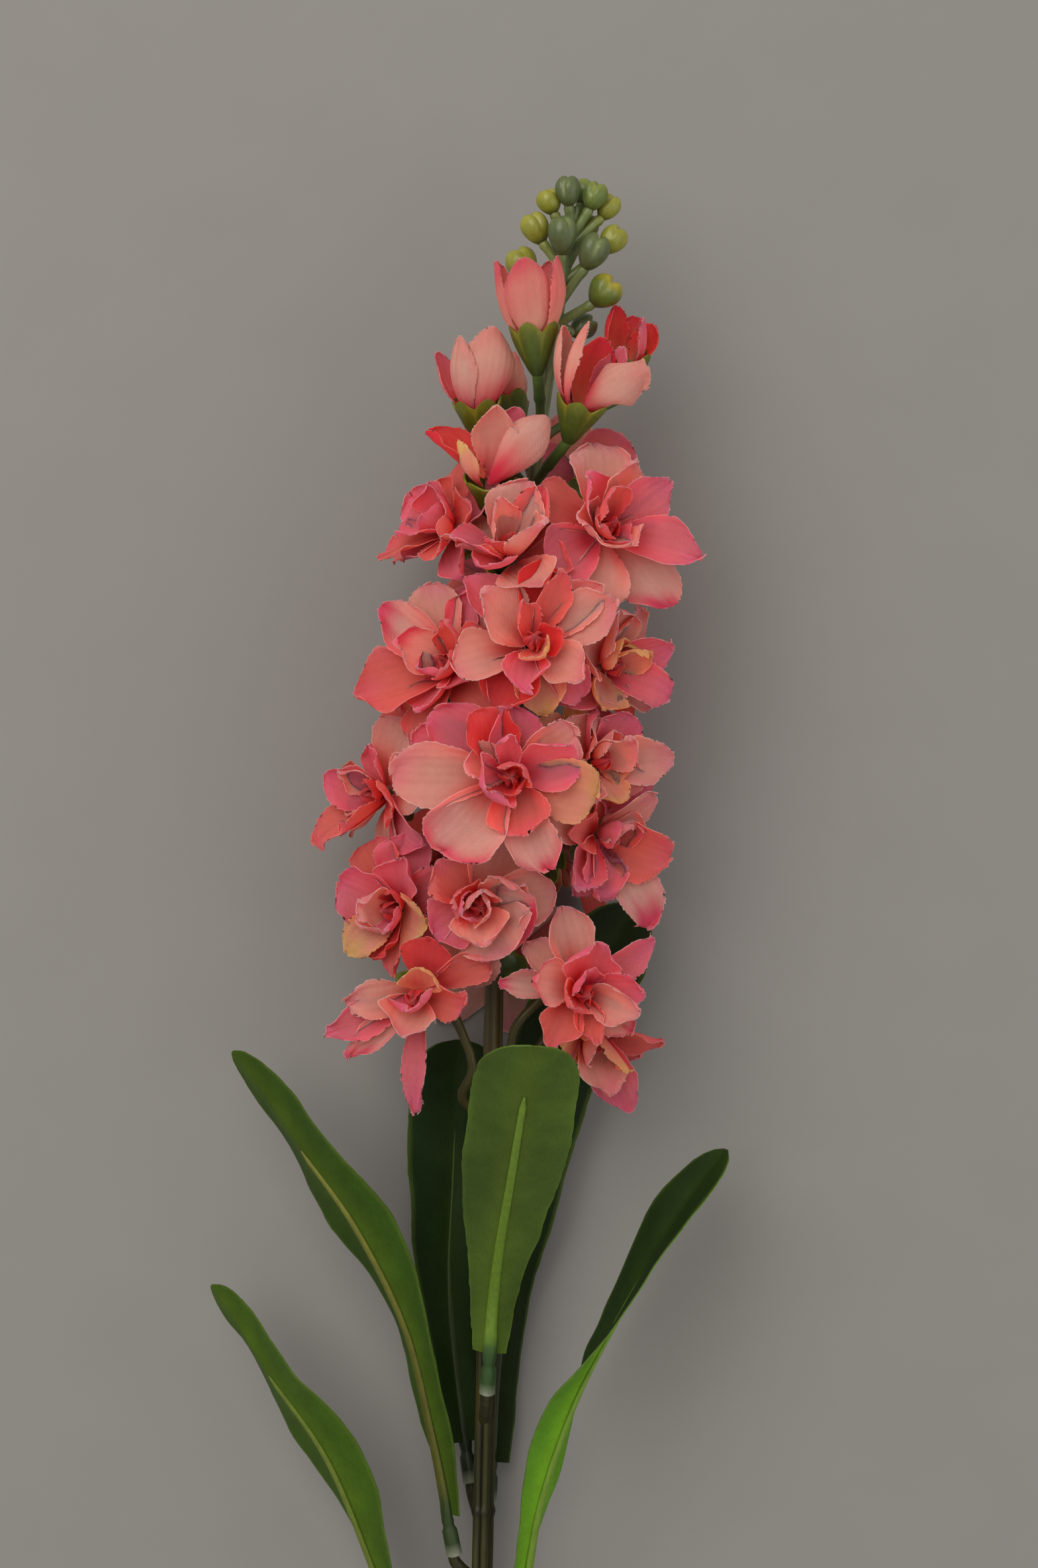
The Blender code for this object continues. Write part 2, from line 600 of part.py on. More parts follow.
def petal_point(u, v, bloom, kind, tip, width):
    """A point of a petal: u across from -1 to 1, v from the root to the tip."""
    bend, roll, root_out, root_up, _ = PETAL_KINDS[kind]
    facing = bloom.facing
    tip = Vector(tip)
    out = (tip - facing * tip.dot(facing)).normalized()
    side = facing.cross(out)
    root = out * root_out + facing * root_up
    tip = tip - root
    lean = atan2(tip.dot(out), tip.dot(facing))
    first = lean - bend
    angle = first + 2 * bend * v
    length = tip.length * bend / sin(bend)
    turn = length / (2 * bend)
    middle = facing * (turn * (sin(angle) - sin(first))) + out * (turn * (cos(first) - cos(angle)))
    inwards = facing * sin(angle) - out * cos(angle)
    across = width / 2 * reading(PETAL_OUTLINE, v)
    side, inwards = (side * cos(PETAL_TWIST) + inwards * sin(PETAL_TWIST),
                     inwards * cos(PETAL_TWIST) - side * sin(PETAL_TWIST))
    round_off = across / roll
    edge = side * (round_off * sin(u * roll)) + inwards * (round_off * (1 - cos(u * roll)))
    return bloom.heart + root + middle + edge


def sheet(name, across, along, place, thickness):
    """A thin sheet through the points that place(u, v) gives, split alike on both faces."""
    shape = bmesh.new()
    bmesh.ops.create_grid(shape, x_segments=across, y_segments=along, size=1.0)
    for vert in shape.verts:
        vert.co = place(vert.co.x, (vert.co.y + 1) / 2) * MM
    bmesh.ops.remove_doubles(shape, verts=shape.verts, dist=1e-7)
    bmesh.ops.triangulate(shape, faces=shape.faces, quad_method="ALTERNATE")
    thing = mesh_object(name, shape)
    solid = thing.modifiers.new("thickness", "SOLIDIFY")
    solid.thickness = thickness * MM
    solid.offset = 0.0
    return settle(thing)


def flatten_on_table(thing):
    """Press what touches the table flat on it."""
    for vert in thing.data.vertices:
        point = vert.co / MM
        height = table_height(point)
        if height < TOUCH_HEIGHT:
            vert.co = (point - TABLE_UP * height) * MM


def receptacle(bloom):
    shape = bmesh.new()
    middle = bloom.heart - bloom.facing * (RECEPTACLE_FOOT - RECEPTACLE_HEIGHT / 2)
    radius = RECEPTACLE_IN_CUP if bloom.slope else RECEPTACLE_RADIUS
    bmesh.ops.create_cone(shape, cap_ends=True, segments=6, radius1=radius * MM,
                          radius2=RECEPTACLE_TOP * MM, depth=RECEPTACLE_HEIGHT * MM,
                          matrix=placed(middle, bloom.facing))
    return mesh_object(f"{bloom.name}_receptacle", shape)


def petals_of(bloom, walls):
    pieces = [receptacle(bloom)]
    for index, (kind, tip, width) in enumerate(bloom.petals):
        rows = PETAL_KINDS[kind][-1]

        def place(u, v, kind=kind, tip=tip, width=width, rows=rows):
            along = rows[round(v * (len(rows) - 1))]
            return kept_clear(petal_point(u, along, bloom, kind, tip, width), bloom, walls)

        across = 2 if width > NARROW_PETAL else 1
        petal = sheet(f"{bloom.name}_petal_{index}", across, len(rows) - 1, place, PETAL_THICK)
        flatten_on_table(petal)
        pieces.append(petal)
    return pieces


def star(radius, height, notch_radius, notch_height):
    """Ring of ten points, at the five sepal tips and the notches between them."""
    ring = []
    for i in range(STAR_POINTS):
        angle = 2 * pi * i / STAR_POINTS
        out, up = (radius, height) if i % 2 == 0 else (notch_radius, notch_height)
        ring.append((out * cos(angle), out * sin(angle), up))
    return ring


def calyx(bloom):
    """Moulded cup with five pointed sepals, under the petals."""
    place = placed(bloom.heart, bloom.facing)
    name = f"{bloom.name}_calyx"
    if bloom.slope:
        return bud_calyx(name, bloom.slope, place)
    return open_calyx(name, place, STAR_POINTS if bloom.name in BLOOMS else STAR_POINTS // 2)


def bud_calyx(name, slope, place):
    """Cup with a wall, whose sepals stand up round the petals."""
    tip_up = CUP_FLOOR + slope * (SEPAL_OUT - CUP_FLOOR_RADIUS)
    notch_up = CUP_FLOOR + slope * (CUP_RIM_RADIUS - CUP_FLOOR_RADIUS) * SEPAL_EDGE
    rings = (star(CUP_FOOT_RADIUS, CUP_FOOT, CUP_FOOT_RADIUS, CUP_FOOT),
             star(SEPAL_OUT + CUP_WALL, tip_up, CUP_RIM_RADIUS + CUP_WALL, notch_up - SEPAL_EDGE),
             star(SEPAL_OUT, tip_up + SEPAL_EDGE, CUP_RIM_RADIUS, notch_up),
             star(CUP_FLOOR_RADIUS, CUP_FLOOR, CUP_FLOOR_RADIUS, CUP_FLOOR))
    return loft(name, rings, place)


def open_calyx(name, place, points):
    """Flat cup under an open bloom: a cone, with sepals pulled out of it at the front."""
    shape = bmesh.new()
    height = CUP_FLOOR - CUP_FOOT
    bmesh.ops.create_cone(shape, cap_ends=True, segments=points, radius1=CUP_FOOT_RADIUS,
                          radius2=CUP_RIM_RADIUS, depth=height)
    for vert in shape.verts:
        if vert.co.z > 0.0 and points == STAR_POINTS:
            turn = round(atan2(vert.co.y, vert.co.x) / (2 * pi) * points)
            pull = SEPAL_OUT / CUP_RIM_RADIUS if turn % 2 else OPEN_NOTCH
            vert.co.x *= pull
            vert.co.y *= pull
        vert.co = place @ ((vert.co + Vector((0.0, 0.0, CUP_FLOOR - height / 2))) * MM)
    return mesh_object(name, shape)


def stalk(bloom):
    """Flower stalk from the spike's axis to the calyx."""
    socket = bloom.heart - bloom.facing * STALK_DEPTH
    if bloom.name in STALK_PATHS:
        count = 6
        path = STALK_PATHS[bloom.name]
        straight = socket - bloom.facing * STALK_STRAIGHT
        points = [axis_at(path[0][1] - STALK_ROOT), *path, straight, socket]
    else:
        count = 3
        rise = TIP_STALK_RISE if bloom.heart.y > TIP_STALKS_FROM else STALK_RISE
        start = axis_at(max(STEM_END + LOWEST_STALK, socket.y - rise))
        near = axis_at(socket.y - STALK_STRAIGHT)
        points = [start, start.lerp(near, STALK_UP).lerp(socket, STALK_OUT), socket]
    points = smooth(points, count)
    return tube(f"{bloom.name}_stalk", points, [STALK_RADIUS] * count, 0)


def strand_bundle(name, low, high, radius_low, radius_high, steps, rings=()):
    """A length of the stem: parallel strands moulded together, as a fluted rod with rings."""
    section = bpy.data.curves.new("section", "CURVE")
    section.dimensions = "2D"
    spline = section.splines.new("POLY")
    count = STRANDS * 2
    spline.points.add(count - 1)
    for i, knot in enumerate(spline.points):
        angle = 2 * pi * (i - 0.5) / count
        radius = 1.0 - STRAND_GROOVE * (i % 2)
        knot.co = (radius * cos(angle) * MM, radius * sin(angle) * MM, 0.0, 1.0)
    spline.use_cyclic_u = True
    profile = put("section", section)
    curve = bpy.data.curves.new(name, "CURVE")
    curve.dimensions = "3D"
    curve.bevel_mode = "OBJECT"
    curve.bevel_object = profile
    curve.use_fill_caps = True
    line = curve.splines.new("POLY")
    stations = [(low + (high - low) * i / steps, 1.0) for i in range(steps + 1)]
    for height in rings:
        stations.extend(((height - RING_HALF, 1.0), (height, RING_SWELL), (height + RING_HALF, 1.0)))
    stations.sort()
    line.points.add(len(stations) - 1)
    for knot, (height, swell) in zip(line.points, stations):
        knot.co = (*(axis_at(height) * MM), 1.0)
        share = (height - low) / (high - low)
        knot.radius = (radius_low + (radius_high - radius_low) * share) * swell
    rod = settle(put(name, curve))
    discard(profile)
    return rod


def leaf_line(name):
    """Stations up a leaf: middle, way across, way of the upper face and half width."""
    width, rows = LEAVES[name]
    middles = smooth([row[0] for row in rows], LEAF_STATIONS)
    faces = smooth([row[1] for row in rows], LEAF_STATIONS)
    stations = []
    for i, (middle, face) in enumerate(zip(middles, faces)):
        ahead = middles[min(i + 1, LEAF_STATIONS - 1)] - middles[max(i - 1, 0)]
        across = ahead.cross(face).normalized()
        upper = across.cross(ahead).normalized()
        half = width / 2 * reading(LEAF_OUTLINE, i / (LEAF_STATIONS - 1))
        stations.append((middle, across, upper, max(half, NARROWEST_HALF)))
    return stations


def leaf_blade(name, finish):
    """Pressed fabric blade, folded a little along its midrib, with waved edges."""
    stations = leaf_line(name)

    def place(u, v):
        middle, across, upper, half = stations[round(v * (LEAF_STATIONS - 1))]
        wave = LEAF_WAVE * sin(2 * pi * LEAF_WAVES * v + u)
        return middle + across * (half * u) + upper * (half * (LEAF_FOLD + wave) * abs(u))

    blade = sheet(name, 2, LEAF_STATIONS - 1, place, LEAF_THICK)
    blade.data.materials.append(finish)
    soften(blade.data)
    return blade


def sleeve_line(name):
    """Where a leaf's sleeve starts, at its peg, and where it ends, under the blade."""
    stations = leaf_line(name)
    middle, _, upper, _ = stations[0]
    ahead = (stations[1][0] - middle).normalized()
    end = middle - upper * RIB_SINK - ahead * SLEEVE_GAP
    foot = end - ahead * SLEEVE_LENGTH
    return foot, end


def leaf_rib(name, finish):
    """Moulded rib glued under the blade, with the sleeve that is pushed on the stem's peg."""
    stations = leaf_line(name)
    foot, end = sleeve_line(name)
    line = [middle - upper * RIB_SINK for middle, _, upper, _ in stations[:-1]]
    radii = [RIB_RADIUS * (1.0 - RIB_TAPER * i / len(line)) for i in range(len(line))]
    rib = tube(f"{name}_line", [foot.lerp(end, 0.6), *line], [RIB_RADIUS, *radii], 0)
    ahead = (end - foot).normalized()
    sleeve = tube(f"{name}_sleeve", [foot, end - ahead * SLEEVE_NECK, end],
                  [SLEEVE_RADIUS, SLEEVE_RADIUS * 0.85, RIB_RADIUS * 0.9])
    return fuse(f"rib_{name[-1]}", [sleeve, rib], finish)


def leaf_peg(name):
    """Peg of the stem that carries a leaf's sleeve, end to end with it."""
    foot, end = sleeve_line(name)
    ahead = (end - foot).normalized()
    root = axis_at(foot.y - PEG_RISE)
    top = foot - ahead * NODE_GAP
    return tube(f"{name}_peg", [root, top - ahead * PEG_STRAIGHT, top], [PEG_RADIUS] * 3)


def stem(finish):
    pieces = [strand_bundle("rod", 0.0, STEM_END, STEM_RADIUS, STEM_TOP_RADIUS, 4, STEM_RINGS)]
    pieces.extend(leaf_peg(name) for name in LEAVES)
    return fuse("stem", pieces, finish)


def raceme(blooms, finish):
    low = STEM_END + NODE_GAP
    rod = strand_bundle("rod", low, RACEME_END, STEM_TOP_RADIUS, TIP_AXIS_RADIUS, 6)
    pieces = [rod]
    for bloom in blooms:
        pieces.append(stalk(bloom))
        pieces.append(calyx(bloom))
    return fuse("raceme", pieces, finish)


def tip_bud(index, x, y, z, length, width):
    """Closed green bud with two lobes, on its stalk from the axis."""
    middle = Vector((x, y, z))
    root_height = min(y - 0.7 * length, SPRAY_END) - TIP_STALK_DROP
    root = axis_at(max(RACEME_END + 2.0, root_height))
    way = (TIP_LEAN * (middle - root) + Vector((0.0, TIP_UPWARD, 0.0))).normalized()
    shape = bmesh.new()
    bmesh.ops.create_uvsphere(shape, u_segments=6, v_segments=4, radius=1.0)
    for vert in shape.verts:
        out = Vector((vert.co.x, vert.co.y, 0.0))
        high = vert.co.z
        swell = TIP_GIRTH + TIP_SWELL * high
        in_cleft = abs(vert.co.x) < TIP_CLEFT_WIDTH * out.length
        cleft = 1.0 - TIP_CLEFT * max(0.0, high) * in_cleft
        vert.co = Vector((out.x * swell * cleft * width / 2, out.y * swell * cleft * width / 2,
                          high * length / 2)) * MM
    bmesh.ops.transform(shape, matrix=placed(middle, way), verts=shape.verts)
    bud = mesh_object(f"tip_bud_{index}", shape)
    foot = middle - way * (length * TIP_FOOT)
    return bud, tube(f"tip_stalk_{index}", [root, foot], [TIP_STALK_RADIUS] * 2, 0)


def bud_spray(finish):
    """Moulded tip of the spike with its green buds."""
    low = RACEME_END + NODE_GAP
    heights = [low + (SPRAY_END - low) * i / 4 for i in range(5)]
    pieces = [tube("spray_axis", [axis_at(height) for height in heights],
                   [TIP_AXIS_RADIUS * (1.0 - 0.1 * i) for i in range(5)], 0)]
    for index, row in enumerate(TIP_BUDS):
        pieces.extend(tip_bud(index, *row))
    return fuse("bud_spray", pieces, finish)


def lay_down():
    """Lay the plant on the table, centred over the origin."""
    holder = bpy.data.objects.new("lying_plant", None)
    bpy.context.scene.collection.objects.link(holder)
    holder.rotation_euler = (LIE_ANGLE, 0.0, 0.0)
    turn = Matrix.Rotation(LIE_ANGLE, 3, "X")
    corners = [turn @ vert.co for thing in PART.objects for vert in thing.data.vertices]
    middle_x = (min(c.x for c in corners) + max(c.x for c in corners)) / 2
    middle_y = (min(c.y for c in corners) + max(c.y for c in corners)) / 2
    holder.location = (-middle_x, -middle_y, -min(c.z for c in corners))
    for thing in PART.objects:
        thing.parent = holder


def build():
    finishes = {name: material(name) for name in COLOURS}
    blooms = all_blooms()
    stem(finishes["olive"])
    raceme(blooms, finishes["calyx"])
    bud_spray(finishes["tip"])
    for bloom in blooms:
        finish = finishes["bud" if bloom.name in BUDS else "petal"]
        fuse(bloom.name, petals_of(bloom, cell_walls(bloom, blooms)), finish)
    for name in LEAVES:
        leaf_blade(name, finishes["leaf"])
        leaf_rib(name, finishes["rib"])
    lay_down()


build()
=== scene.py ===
# %% [markdown]
# # An artificial stock flower, laid on a table
#
# The real thing is a florist's stem. Its blooms are layers of dyed satin petals, threaded on
# moulded green calyxes. Its leaves are pressed cloth with a moulded rib, and its tip is a spray
# of glossy plastic buds. This lesson dresses a plain solid model of it: each solid is replaced
# by a finer piece in the same place, made from the same measurements.
#
# The plant is measured in its own frame, in millimetres: X to the right, Y up the stem from the
# cut end, Z towards the viewer. The last step of each piece lays it down on the table.

# %% Load the solid model
from math import atan2, cos, pi, radians, sin
from random import Random

import bpy
import numpy as np
from mathutils import Matrix, Vector


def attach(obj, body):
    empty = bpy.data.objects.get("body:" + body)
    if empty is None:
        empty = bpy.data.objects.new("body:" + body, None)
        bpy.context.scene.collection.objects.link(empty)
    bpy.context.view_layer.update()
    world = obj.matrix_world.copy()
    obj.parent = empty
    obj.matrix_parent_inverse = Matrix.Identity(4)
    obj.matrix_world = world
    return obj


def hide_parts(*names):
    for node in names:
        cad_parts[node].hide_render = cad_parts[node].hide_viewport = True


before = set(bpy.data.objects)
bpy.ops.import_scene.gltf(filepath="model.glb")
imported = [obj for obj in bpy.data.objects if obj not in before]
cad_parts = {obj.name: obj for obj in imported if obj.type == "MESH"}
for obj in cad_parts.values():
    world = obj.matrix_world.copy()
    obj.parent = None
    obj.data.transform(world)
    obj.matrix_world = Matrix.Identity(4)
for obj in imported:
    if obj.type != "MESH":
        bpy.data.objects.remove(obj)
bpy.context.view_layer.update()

print("solid pieces:", len(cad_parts))

# %% [markdown]
# ## Where the plant lies
#
# The stem leans a little to the right, and the spike bends further above the lowest blooms. The
# whole plant lies tilted by a few degrees, since its blooms carry the upper end. The middle of
# the cut end, read from the solid stem, says where the plant's own frame sits in the world.

# %% From the plant's frame to the table
MM = 0.001
LIE_ANGLE = radians(4.7)
STEM_RADIUS = 3.3
STEM_TOP_RADIUS = 3.1
TIP_AXIS_RADIUS = 1.5
STEM_FOOT_X = -6.4
STEM_LEAN = 0.0205
SPIKE_FOOT = 316.0
SPIKE_BEND = 2600.0
STEM_END = 270.0
RACEME_END = 505.0
SPRAY_END = 541.0
FOOT_SLICE = 0.001


def axis_at(height):
    """The middle of the stem and spike at one height or at many."""
    height = np.asarray(height, dtype=float)
    lean = STEM_FOOT_X + STEM_LEAN * height
    bend = np.maximum(0.0, height - SPIKE_FOOT) ** 2 / SPIKE_BEND
    return np.stack([lean + bend, height, np.zeros_like(height)], axis=-1)


stem_points = {tuple(round(c, 6) for c in vert.co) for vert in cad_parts["stem"].data.vertices}
foot_y = min(point[1] for point in stem_points)
foot_ring = np.array([point for point in stem_points if point[1] < foot_y + FOOT_SLICE])
LIE_TURN = np.array(Matrix.Rotation(LIE_ANGLE, 3, "X"))
LIE_SHIFT = foot_ring.mean(axis=0) - LIE_TURN @ axis_at(0.0) * MM
TABLE_UP = np.array((0.0, sin(LIE_ANGLE), cos(LIE_ANGLE)))


def laid(points):
    """Points of the plant's frame, in millimetres, where they lie on the table, in metres."""
    return points @ LIE_TURN.T * MM + LIE_SHIFT


print("foot of the stem at", [round(float(c) / MM, 1) for c in foot_ring.mean(axis=0)], "mm")

# %% [markdown]
# ## Helpers for meshes
#
# Every shape starts from a primitive, made once: a flat grid for a petal or a leaf, and a
# cylinder cut in rings for a stalk. Its copies are then bent to their places with a formula.
# The helpers here deselect everything first, since an operator acts on all that is selected.

# %% Select, read and move points
def nothing_selected():
    if bpy.context.object and bpy.context.object.mode != "OBJECT":
        bpy.ops.object.mode_set(mode="OBJECT")
    bpy.ops.object.select_all(action="DESELECT")


def only(thing):
    """Leave one object selected and active."""
    nothing_selected()
    thing.select_set(True)
    bpy.context.view_layer.objects.active = thing


def points_of(mesh):
    flat = np.empty(len(mesh.vertices) * 3, dtype=np.float32)
    mesh.vertices.foreach_get("co", flat)
    return flat.reshape(-1, 3).astype(float)


def move_points(mesh, points):
    mesh.vertices.foreach_set("co", np.ascontiguousarray(points, dtype=np.float32).ravel())
    mesh.update()


def apply_modifiers(thing):
    only(thing)
    for modifier in list(thing.modifiers):
        bpy.ops.object.modifier_apply(modifier=modifier.name)


def smoothed(thing, degrees):
    """Shade smooth where faces meet at less than this angle."""
    only(thing)
    bpy.ops.object.shade_smooth_by_angle(angle=radians(degrees))


def joined(name, pieces):
    """Join objects in one, with one mesh."""
    only(pieces[0])
    for piece in pieces:
        piece.select_set(True)
    if len(pieces) > 1:
        bpy.ops.object.join()
    whole = bpy.context.object
    whole.name = name
    whole.data.name = name
    return whole


# %% A flat grid and a cylinder cut in rings
ON_EDGE = 0.999   # a grid runs from -1 to 1


def flat_grid(name, across, along):
    nothing_selected()
    bpy.ops.mesh.primitive_grid_add(x_subdivisions=across, y_subdivisions=along, size=2.0)
    sheet = bpy.context.object
    sheet.name = name
    return sheet


def ringed_cylinder(name, around, along):
    """A capped cylinder of radius 1 from height 0 to 1, cut in rings by subdividing its sides."""
    nothing_selected()
    bpy.ops.mesh.primitive_cylinder_add(vertices=around, radius=1.0, depth=1.0)
    rod = bpy.context.object
    rod.name = name
    bpy.ops.object.mode_set(mode="EDIT")
    bpy.ops.mesh.select_mode(type="EDGE")
    bpy.ops.mesh.select_all(action="DESELECT")
    bpy.ops.object.mode_set(mode="OBJECT")
    heights = points_of(rod.data)[:, 2]
    for edge in rod.data.edges:
        low, high = edge.vertices
        edge.select = bool(abs(heights[low] - heights[high]) > 0.5)
    bpy.ops.object.mode_set(mode="EDIT")
    bpy.ops.mesh.subdivide(number_cuts=along - 1)
    bpy.ops.mesh.select_mode(type="VERT")
    bpy.ops.object.mode_set(mode="OBJECT")
    move_points(rod.data, points_of(rod.data) + (0.0, 0.0, 0.5))
    return rod


def copy_of(blank, name):
    """A copy with its own mesh."""
    thing = bpy.data.objects.new(name, blank.data.copy())
    bpy.context.scene.collection.objects.link(thing)
    return thing


# %% Dyes, painted shade and highlight, and patterns that a piece carries
# The points carry their dye, and on some pieces painted shade and highlight as well.
DYE_AND_PAINTED_LIGHT = "dye"
PATTERN = "pattern"


def linear(rgb):
    """A colour as a screen shows it, 0 to 255, as the linear light that a shader reads."""
    share = np.asarray(rgb, dtype=float) / 255.0
    return np.where(share <= 0.04045, share / 12.92, ((share + 0.055) / 1.055) ** 2.4)


def paint(mesh, colours):
    """Give every point its own dye, with painted shade or highlight where a piece has some."""
    layer = mesh.color_attributes.get(DYE_AND_PAINTED_LIGHT) or mesh.color_attributes.new(DYE_AND_PAINTED_LIGHT, "FLOAT_COLOR", "POINT")
    full = np.ones((len(mesh.vertices), 4), dtype=np.float32)
    full[:, :3] = np.clip(colours, 0.0, 1.0)
    layer.data.foreach_set("color", full.ravel())


def lay_pattern(mesh, flat):
    """Unwrap the piece on its flat cut, in millimetres, so that the weave follows it."""
    layer = mesh.uv_layers.active or mesh.uv_layers.new(name=PATTERN)
    layer.name = PATTERN
    corners = np.empty(len(mesh.loops), dtype=np.int32)
    mesh.loops.foreach_get("vertex_index", corners)
    layer.data.foreach_set("uv", np.asarray(flat, dtype=np.float32)[corners].ravel())


def rise(value, start, end):
    """0 before start, 1 after end, and an even swing between them."""
    share = np.clip((value - start) / (end - start), 0.0, 1.0)
    return share * share * (3.0 - 2.0 * share)


def mixed(low, high, share):
    share = np.asarray(share, dtype=float)[..., None]
    return low * (1.0 - share) + high * share


def curve_through(points, count):
    """Points spread along a smooth curve through a few given ones."""
    points = np.asarray(points, dtype=float)
    padded = np.vstack([2 * points[0] - points[1], points, 2 * points[-1] - points[-2]])
    spans = len(points) - 1
    place = np.linspace(0.0, spans, count)
    span = np.minimum(place.astype(int), spans - 1)
    t = (place - span)[:, None]
    a, b, c, d = (padded[span + i] for i in range(4))
    return 0.5 * (2 * b + (c - a) * t + (2 * a - 5 * b + 4 * c - d) * t ** 2
                  + (3 * b - a - 3 * c + d) * t ** 3)


def unit(vectors):
    vectors = np.asarray(vectors, dtype=float)
    return vectors / np.linalg.norm(vectors, axis=-1, keepdims=True)


# %% [markdown]
# ## Materials
#
# Cloth and plastic are both a Principled shader. The dye comes from the points, so that one
# material serves every petal; on some pieces the points also carry painted shade and highlight.
# Nodes add what is finer: the twill of the satin, the ribbed weave of the leaves, streaks in
# moulded plastic. What is the same all over, such as sheen, is set on the shader's own socket.

# %% A short way to build node trees
def new_material(name):
    finish = bpy.data.materials.new(name)
    finish.use_nodes = True
    tree = finish.node_tree
    shader = tree.nodes["Principled BSDF"]
    return finish, tree, shader


def step(tree, kind, inputs=None, **choices):
    """Add a node, choose its options and fill its inputs with values or with other nodes' outputs."""
    made = tree.nodes.new(kind)
    for name, value in choices.items():
        setattr(made, name, value)
    for key, value in (inputs or {}).items():
        if isinstance(value, bpy.types.NodeSocket):
            tree.links.new(value, made.inputs[key])
        else:
            made.inputs[key].default_value = value
    return made


def carried_dye_and_painted_light(tree):
    """The dye that the points carry, with the shade and highlight painted on some pieces."""
    return step(tree, "ShaderNodeVertexColor", layer_name=DYE_AND_PAINTED_LIGHT).outputs["Color"]


def carried_pattern(tree):
    """The place on the flat cut, in millimetres."""
    return step(tree, "ShaderNodeUVMap", uv_map=PATTERN).outputs["UV"]


def own_place(tree):
    """The place in the piece's own frame, in metres."""
    return step(tree, "ShaderNodeTexCoord").outputs["Object"]


def stretched(tree, place, scale):
    return step(tree, "ShaderNodeMapping", {"Vector": place, "Scale": scale}).outputs["Vector"]


def noise(tree, place, scale, detail, roughness=0.5):
    inputs = {"Vector": place, "Scale": scale, "Detail": detail, "Roughness": roughness}
    return step(tree, "ShaderNodeTexNoise", inputs).outputs["Fac"]


def bands(tree, flat, direction, **inputs):
    """Wavy bands, such as the threads of a weave."""
    named = {name.replace("_", " "): value for name, value in inputs.items()}
    return step(tree, "ShaderNodeTexWave", {"Vector": flat, **named}, wave_type="BANDS",
                bands_direction=direction).outputs["Fac"]


def ranged(tree, value, low, high, to_low, to_high):
    """Stretch what runs from low to high, so that it runs from to_low to to_high."""
    made = step(tree, "ShaderNodeMapRange", {"Value": value, "From Min": low, "From Max": high,
                                             "To Min": to_low, "To Max": to_high})
    return made.outputs["Result"]


NOISE_LOW, NOISE_HIGH = 0.3, 0.7   # nearly all of a noise lies between them


def spread(tree, value, to_low, to_high):
    return ranged(tree, value, NOISE_LOW, NOISE_HIGH, to_low, to_high)


def summed(tree, first, second):
    return step(tree, "ShaderNodeMath", {0: first, 1: second}, operation="ADD").outputs[0]


def times(tree, first, second):
    return step(tree, "ShaderNodeMath", {0: first, 1: second}, operation="MULTIPLY").outputs[0]


def shade_dye(tree, shader, shade, roughness):
    """Multiply the carried dye, and any painted shade or highlight, by a shade of grey, and wire colour
    and roughness to the shader.
    """
    grey = step(tree, "ShaderNodeCombineColor", {"Red": shade, "Green": shade, "Blue": shade})
    sockets = {0: 1.0, 6: carried_dye_and_painted_light(tree), 7: grey.outputs["Color"]}   # factor and both colours
    product = step(tree, "ShaderNodeMix", sockets, data_type="RGBA", blend_type="MULTIPLY").outputs[2]
    tree.links.new(product, shader.inputs["Base Color"])
    tree.links.new(roughness, shader.inputs["Roughness"])


def bumped(tree, shader, height, depth, strength):
    made = step(tree, "ShaderNodeBump", {"Height": height, "Distance": depth, "Strength": strength})
    tree.links.new(made.outputs["Normal"], shader.inputs["Normal"])


def fixed(shader, **values):
    """Set plain values on the shader's own sockets."""
    for name, value in values.items():
        shader.inputs[name.replace("_", " ")].default_value = value


# %% Dyed satin of the petals
def satin_material():
    """A fine diagonal twill with a soft sheen, and dye that took a little unevenly."""
    finish, tree, shader = new_material("dyed_satin")
    flat = carried_pattern(tree)
    twill = bands(tree, flat, "DIAGONAL", Scale=1.15, Distortion=0.6, Detail=1.0, Detail_Scale=0.4)
    threads = bands(tree, flat, "X", Scale=0.9, Distortion=0.4)
    slubs = noise(tree, flat, 0.9, 4.0)
    clouds = noise(tree, own_place(tree), 140.0, 3.0, 0.6)
    fan = bands(tree, flat, "X", Scale=0.14, Distortion=7.0, Detail=1.5, Detail_Scale=0.1,
                Phase_Offset=1.0)
    weave = summed(tree, twill, times(tree, threads, 0.4))
    shade = ranged(tree, summed(tree, weave, slubs), 0.4, 2.0, 0.93, 1.05)
    shade = times(tree, shade, spread(tree, clouds, 0.93, 1.06))
    # Painted shade and light along the pressed ripples, in step with their bump.
    shade = times(tree, shade, ranged(tree, fan, 0.0, 1.0, 0.982, 1.012))
    shade_dye(tree, shader, shade, spread(tree, slubs, 0.56, 0.72))
    relief = summed(tree, summed(tree, weave, slubs), times(tree, fan, 1.4))
    bumped(tree, shader, relief, 0.00012, 0.55)
    fixed(shader, Sheen_Weight=0.03, Sheen_Roughness=0.35, Subsurface_Weight=0.8,
          Subsurface_Radius=(1.0, 0.38, 0.3), Subsurface_Scale=0.003, Specular_IOR_Level=0.16)
    return finish


